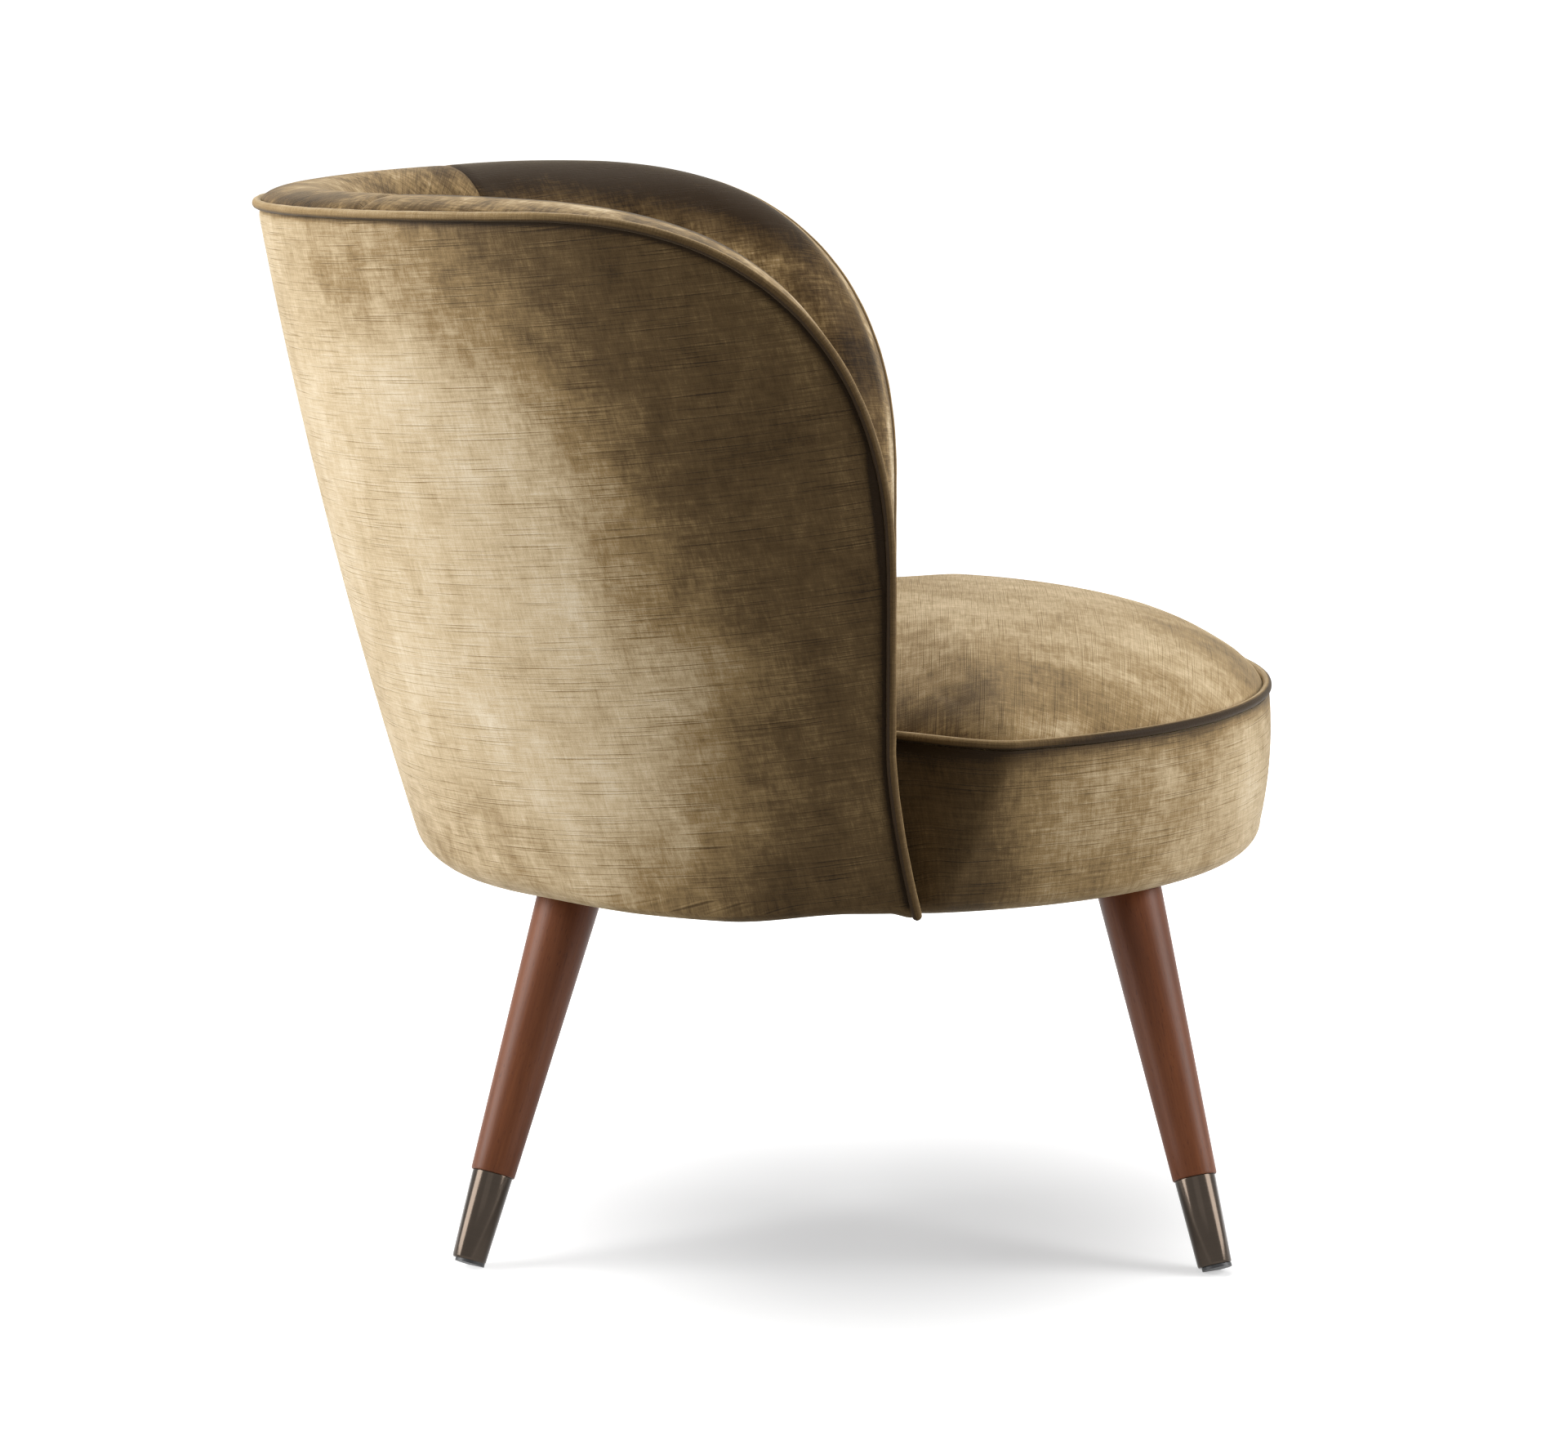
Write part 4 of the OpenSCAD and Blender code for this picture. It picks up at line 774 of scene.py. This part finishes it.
# Seat cushion: rings k from the crown's middle 0 to the piping 1. Its height is the crown times
# (1 - k^flat)^round, and it is gathered a little where it meets the piping.
dense, (within, beyond) = seat["dense"], seat["rings"]  # closer together near the piping
k = np.concatenate([np.linspace(0.02, dense, within)[:-1],
                    dense + (1 - dense) * np.sin(np.linspace(0, 1, beyond) * math.pi / 2)])
lines = seatAngles(seat["lines"])
t, k = grid(lines, k)
n = neckAt(t, chair["seat"])
inset = piping["inside"] + piping["radius"] + piping["clear"] + seat["neckInset"] * n * (1 - n)
rim = outline(t, chair["seat"], inset)
crown = seat["crown"] * clip(1 - k ** seat["flat"]) ** seat["round"]
rings = stacked(rim[..., 0] * k, rim[..., 1] * k - seat["peak"] * (1 - k * k), chair["seat"] + crown)
gather = sum(np.sin(np.radians(t) * count + start) for count, start in gathers["waves"]) / 3
rings[..., 2] += gathers["height"] * gather * bell(k, gathers["at"], gathers["width"]) * (k < 0.999)
inwards = np.array([1.0, 0.6, 0.05])[None, :, None]  # the flat underside, on the foam's line
low = outline(t[:, :3], seat["foam"], 7.0) * np.array([1, 1, 0]) * inwards
low[..., 2] += seat["foam"]
whole = np.concatenate([rings, low], 1)
pole = np.broadcast_to(rings[:, :1].mean(0), rings[:, :1].shape)
reach = np.cumsum(np.linalg.norm(np.diff(np.concatenate([pole, rings], 1), axis=1), axis=2), 1)
reach = np.concatenate([reach, np.repeat(reach[:, -1:] + 8, 3, 1)], 1)
x, y = whole[..., 0], whole[..., 1]
facing = np.arctan2(x, y + seat["peak"])
cloth = stacked(reach * np.sin(facing), -reach * np.cos(facing))
# painted shadow of the wings on both sides, beside them and before them, and one dark nap patch in
# front
shade = dict(all=0.11, front=[(-0.20, -40, 58, -268, 58)],
             sides=[(-0.32, 262, 85, -26, 85), (-0.20, 215, 42, -172, 42), (0.08, 90, 60, -190, 60)])
shadeAndNap = shade["all"] + spots(np.abs(x), y, shade["sides"]) + spots(x, y, shade["front"])
seatCushion = skin("seatCushion", np.swapaxes(whole, 0, 1), "poles", np.swapaxes(cloth, 0, 1),
                   velvetSeat, "velvet", nap=shadeAndNap.T)
free = ramp(np.concatenate([k, np.ones_like(low[..., 0])], 1), 0.965, -0.10).T.ravel()
swell(seatCushion, np.concatenate([free, [1.0, 0.0]]), seat["cap"], seat["pressure"])
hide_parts("seat_top_cover", "seat_foam")
print("seat cushion made")


# Seat band: hem, rounded lower edge, swelling side, in under the piping, then down the board
t, a = grid(lines, np.radians(np.linspace(90, 0, 12)))
cornerR = mix(seat["rearCorner"], seat["corner"], neckAt(t, seat["base"]))
lower = outline(t, seat["base"] + cornerR * (1 - np.sin(a)), cornerR * (1 - np.cos(a)))
hem = outline(t[:, :1], seat["base"], cornerR[:, :1] + seat["hem"])
t, k = grid(lines, np.linspace(0, 1, 30)[1:])
top = chair["seat"] - piping["radius"] - piping["clear"]
side = outline(t, mix(seat["base"] + cornerR[:, :1], top, k), 0)
t = t[:, :1]
foamLine, frameLine = seat["foam"] - seat["clear"], seat["frameTop"] + seat["clear"]
lip, lipLow = outline(t, top - 0.6, 3.0), outline(t, foamLine, 4.0)
overBoard = level(t, seat["frameHigh"] - 9.0, np.array([[foamLine, frameLine]]))
inside = level(t, np.array([[seat["frameHigh"], seat["frameLow"], seat["frameLow"]]]) + 0.6,
               np.array([[frameLine, seat["ringBase"], seat["base"]]]))
whole = np.concatenate([hem, lower, side, lip, lipLow, overBoard, inside], 1)
height = runAlong(whole[len(whole) // 3]) - seat["hem"]  # up one of its lines
t = np.broadcast_to(t, whole.shape[:2])
cloth = stacked(np.radians(t) * chair["seatRadius"], height)
# painted light and shade: light in front, painted shade beside the wings, and deeper painted
# shade in the fold under the piping
shade = dict(all=0.07, front=0.10, wing=0.36, folds=((0.36, 12), (0.30, 5)), shadow=0.07,
             patches=[(0.10, 146, 17, 290, 35)])
turn, z = offBack(t), whole[..., 2]
shadeAndNap = (shade["all"] + shade["front"] * ramp(turn, 140, 20) - shade["wing"] * ramp(turn, 119, -15)
           + spots(turn, z, shade["patches"]) - shade["shadow"] * bell(turn, 126, 9) * ramp(z, 290, -30)
           - sum(amount * bell(z, chair["seat"], width) for amount, width in shade["folds"]))
seatBand = skin("seatBand", whole, "joined", cloth, velvet, "velvet", nap=shadeAndNap)
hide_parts("seat_band_cover", "band_foam")

t = seatAngles(720)
path = outline(t, chair["seat"], piping["inside"])
points, cloth = tube(path, level(t, 1, 0), uneven(np.radians(t) * 31, np.radians(t) * 17), True)
# painted light and shade on the seat's piping
shadeAndNap = pipingShade(0.20 + 0.44 * ramp(offBack(t), 108, 22))
seatPiping = skin("seatPiping", points, "joined", cloth, velvetPiping, "velvet_piping", nap=shadeAndNap)
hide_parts("seat_piping")
print("seat band and piping made")


# Legs and ferrules, turned about their own line; the leg is cut level under the seat
legs = dict(topRadius=251.0, topDiameter=44.0, lowDiameter=30.0, footX=262.0, rearFootY=253.0,
            frontFootY=249.0, rearTurn=48.3, frontTurn=50.1, ferrule=60.0, ferruleTop=27.6,
            ferruleEnd=23.0, wall=1.2, fit=0.3, seated=4.7, glideHole=3.15)


def legLine(side, rear):
    end, sign = ("rear", 1) if rear else ("front", -1)
    turn, r, height = math.radians(legs[end + "Turn"]), legs["topRadius"], chair["underside"]
    top = np.array([side * r * math.cos(turn), sign * r * math.sin(turn), height])
    foot = np.array([side * legs["footX"], sign * legs[end + "FootY"], 0.0])
    down = (foot - top) / np.linalg.norm(foot - top)
    lean = math.acos(-down[2])
    length = (height - legs["fit"] - legs["ferruleEnd"] / 2 * math.sin(lean)) / math.cos(lean)
    out = np.array([down[0], down[1], 0]) / math.hypot(down[0], down[1])
    u = out - down * np.dot(out, down)
    u /= np.linalg.norm(u)
    return top, down, u, np.cross(down, u), length


# Profiles of (distance down the leg, radius)
def legProfile(length):
    woodEnd = length - legs["ferrule"]
    r1, r2 = legs["topDiameter"] / 2, legs["lowDiameter"] / 2
    tenon = legs["ferruleEnd"] / 2 - legs["wall"] - 0.1
    steps = (0.0, 24.0, 48.0, *np.linspace(60, woodEnd - 1.2, 8))
    return ([(s, mix(r1, r2, s / woodEnd)) for s in steps]
            + [(woodEnd - 0.5, r2 - 0.15), (woodEnd, r2 - 0.8), (woodEnd, tenon),
               (length - 2.2, tenon)])


def ferruleProfile(length):
    woodEnd = length - legs["ferrule"]
    f1, f2 = legs["ferruleTop"] / 2, legs["ferruleEnd"] / 2
    inner = f2 - legs["wall"]
    return [(woodEnd + 0.1, inner + 0.05), (woodEnd + 0.1, f1 - 0.6), (woodEnd + 0.35, f1 - 0.15),
            (woodEnd + 0.9, f1 - 0.02), (woodEnd + 30, mix(f1, f2, 0.5)), (length - 1.4, f2 + 0.02),
            (length - 0.5, f2 - 0.3), (length, f2 - 0.9), (length, legs["glideHole"]),
            (length - legs["wall"], legs["glideHole"]), (length - legs["wall"], inner)]


# A turned surface: top + s * down + r * (cos a * u + sin a * w), s and r from the profile
def turned(name, side, rear, profile, cut, finish, slot, sides=72):
    top, down, u, w, _ = legLine(side, rear)
    a = np.linspace(0, 2 * math.pi, sides, endpoint=False)[None, :, None]
    spread = np.cos(a) * u + np.sin(a) * w
    s, r = [np.array(x)[:, None, None] for x in zip(*profile)]
    if cut:  # on the first rings each line down the cone starts where it meets the seat's underside
        (_, r0), (s1, r1), (near, _) = profile[:3]
        grow = (r1 - r0) / s1
        start = (legs["seated"] - r0 * spread[..., 2:]) / (down[2] + grow * spread[..., 2:])
        onTop = s < near + 1
        s = np.where(onTop, start + (near - start) * (s / near), s)
        r = np.where(onTop, r0 + grow * s, r)
    points = top + s * down + r * spread
    local = np.concatenate(np.broadcast_arrays(r * np.cos(a), r * np.sin(a), s), -1) * 0.001
    if cut:  # a small ring in the middle of the flat top
        middle = points[:1] * 0.02 + points[:1].mean(1, keepdims=True) * 0.98
        points, local = np.concatenate([middle, points]), np.concatenate([local[:1] * 0.02, local])
    # each leg is cut from its own part of the plank
    local = local + np.array([0.31 * side + 0.17 * rear, 0.07 * rear, 0.5 * side])
    return skin(name, points, "poles", None, finish, slot, 35, grain=local)


for side, hand in ((-1, "left"), (1, "right")):
    for rear, end in enumerate(("front", "rear")):
        length = legLine(side, rear)[4]
        place = end.title() + hand.title()
        leg = turned("leg" + place, side, rear, legProfile(length), True, wood, "beech")
        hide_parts(f"leg_{end}_{hand}")
        ferrule = turned("ferrule" + place, side, rear, ferruleProfile(length), False,
                         gunmetal, "gunmetal")
        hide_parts(f"ferrule_{end}_{hand}")
print("legs made")


# Dust cloth under the frame: a disc, notched at the legs' bolts
under = dict(radius=256.0, z=244.4, thick=0.8, notch=15.0, notchHalf=2.3)
t, k = grid(np.linspace(0, 360, 361)[:-1], np.array([0.01, 0.25, 0.5, 0.75, 0.9, 1.0]))
reach = np.full_like(t, under["radius"])
for sign, turn in ((1, math.radians(legs["rearTurn"])), (-1, math.radians(legs["frontTurn"]))):
    for side in (-1, 1):
        at = math.degrees(math.atan2(side * math.cos(turn), sign * math.sin(turn))) % 360
        away = (t - at + 180) % 360 - 180
        reach = reach - under["notch"] * np.exp(-(away / under["notchHalf"]) ** 6)
low = level(t, reach * k, under["z"])
whole = np.swapaxes(shell(low, low + np.array([0, 0, under["thick"]])), 0, 1)
dustCloth = skin("dustCloth", whole, "poles", whole[..., :2], underCloth, "black_cloth")
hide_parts("dust_cover")


# Webbing: five straps each way, woven over and under, their ends on the upper ring
straps = dict(width=50.0, pitch=62.0, count=5, reach=224.0, z=346.05 + 0.8, weave=0.8, thick=1.2)


def strapLine(i, over):  # up and down by the weave, squared by tanh, then down onto the ring
    pitch, halfWidth = straps["pitch"], straps["width"] / 2
    at = (i - straps["count"] // 2) * pitch
    half = math.sqrt(straps["reach"] ** 2 - (abs(at) + halfWidth) ** 2)
    x = np.linspace(-half, half, 121)
    wave = (1 if (i + over) % 2 == 0 else -1) * np.tanh(4 * np.cos(math.pi * x / pitch))
    lastCrossed = max(j * pitch for j in range(straps["count"] // 2 + 1) if j * pitch + 1 < half)
    return at, x, mix(wave, -1.0, ramp(np.abs(x), lastCrossed + halfWidth + 2, 8)) * straps["weave"]


for over, way in enumerate(("lengthwise", "crosswise")):
    for i in range(straps["count"]):
        at, x, wave = strapLine(i, over)
        w = np.array([-1, -0.9, 0.9, 1, 1, 0.9, -0.9, -1]) * straps["width"] / 2
        h = np.array([0.25, 0.5, 0.5, 0.25, -0.25, -0.5, -0.5, -0.25]) * straps["thick"]
        along, beside, up = x[:, None], at + w[None, :], straps["z"] + wave[:, None] + h
        points = stacked(along, beside, up) if over else stacked(beside, along, up)
        strap = skin(f"webbing{way.title()}{i}", points, "strips", stacked(along, beside),
                     webbing, "webbing")
        if i == 0:
            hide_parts(f"webbing_{way}")
print("under cloth and webbing made")

# Finishes of the carried-over solids
for name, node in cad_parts.items():
    if node.hide_render:
        continue
    finish = (steel if name.startswith(("bolt", "insert", "bracket", "back_bracket")) else
              blackPlastic if name.startswith("glide") else
              fibreboard if name == "seat_band_board" else plywood)
    for place in node.material_slots:
        place.material = finish


# Camera, fitted to the photograph's rim, drum and feet
view = dict(place=(-3.2526, -0.0899, 0.8866), yaw=1.381, pitch=9.704, lens=106.30)
yaw, pitch = math.radians(view["yaw"]), math.radians(view["pitch"])
ahead = Vector((math.cos(pitch) * math.cos(yaw), math.cos(pitch) * math.sin(yaw), -math.sin(pitch)))
lens = bpy.data.cameras.new("view")
lens.lens, lens.sensor_width, lens.sensor_fit = view["lens"], 36.0, "HORIZONTAL"
camera = bpy.data.objects.new("view", lens)
camera.location = view["place"]
camera.rotation_euler = ahead.to_track_quat("-Z", "Y").to_euler()
scene.collection.objects.link(camera)
scene.camera = camera


# Studio: tall soft boxes behind and before the chair, one overhead, a weak one by the camera
lamps = dict(rear=((-0.5, 2.6, 1.15), (1.5, 1.9), 80.0), front=((-0.5, -2.6, 1.25), (1.3, 1.9), 60.0),
             top=((0.5, 0.0, 2.7), (2.0, 2.0), 42.0), near=((-3.0, 0.2, 1.9), (1.8, 1.4), 3.0))
for name, (place, size, power) in lamps.items():
    lamp = bpy.data.lights.new(name, "AREA")
    lamp.shape, lamp.size, lamp.size_y, lamp.energy = "RECTANGLE", *size, power
    box = bpy.data.objects.new(name, lamp)
    box.location = place
    box.rotation_euler = (Vector((0, 0, 0.42)) - Vector(place)).to_track_quat("-Z", "Y").to_euler()
    scene.collection.objects.link(box)

# the world is white to the camera and in the metal, and a dim fill light otherwise
scene.world = bpy.data.worlds.new("studio")
sky = Finish("studio", scene.world)
seen = sky.larger(sky.larger(sky.ray("camera"), sky.ray("glossy")), sky.ray("transmission"))
white = sky.node("Background", {}, dict(Color=(1, 1, 1, 1), Strength=seen * 0.80 + 0.20))
sky.node("OutputWorld", {}, dict(Surface=white))

# The floor keeps the lamps' shadow, and where it is seen its own glow is dim round the chair, a painted
# shadow, and fades in away from it so it ends white; elsewhere it is plain grey
floorLook = dict(grey=0.42, pale=0.70, middle=(0.50, 0.30, 0), squeeze=(2.4, 3.0, 1), near=0.15,
                 far=1.40, least=0.22, glow=0.80)
ground = Finish("paleFloor")
seen = ground.larger(ground.ray("camera"), ground.ray("glossy"))
# the painted shadow: an oval about a point near the chair, its glow least in the middle
paintedShadowSpot = ground.node("Mapping", {}, dict(Vector=ground.objectPlace(), Location=floorLook["middle"],
                                       Scale=floorLook["squeeze"]))
away = ground.node("VectorMath", dict(operation="LENGTH"), {0: paintedShadowSpot}, 1)
matt, thin = [ground.node("BsdfDiffuse", {}, dict(Color=(floorLook[tone],) * 3 + (1,)))
              for tone in ("grey", "pale")]
far = ground.band(away, floorLook["near"], floorLook["far"])
strength = far * floorLook["glow"] + floorLook["least"]
glow = ground.node("Emission", {}, dict(Color=(1, 1, 1, 1), Strength=strength))
both = ground.node("AddShader", {}, {0: thin, 1: glow})
mixed = ground.node("MixShader", {}, {0: seen, 1: matt, 2: both})
ground.node("OutputMaterial", {}, dict(Surface=mixed))
floorMesh = bpy.data.meshes.new("floor")
floorMesh.from_pydata([(-30, -30, 0), (60, -30, 0), (60, 30, 0), (-30, 30, 0)], [], [(0, 1, 2, 3)])
floorMesh.materials.append(ground.made)
floor = bpy.data.objects.new("floor", floorMesh)
scene.collection.objects.link(floor)
print("studio made")
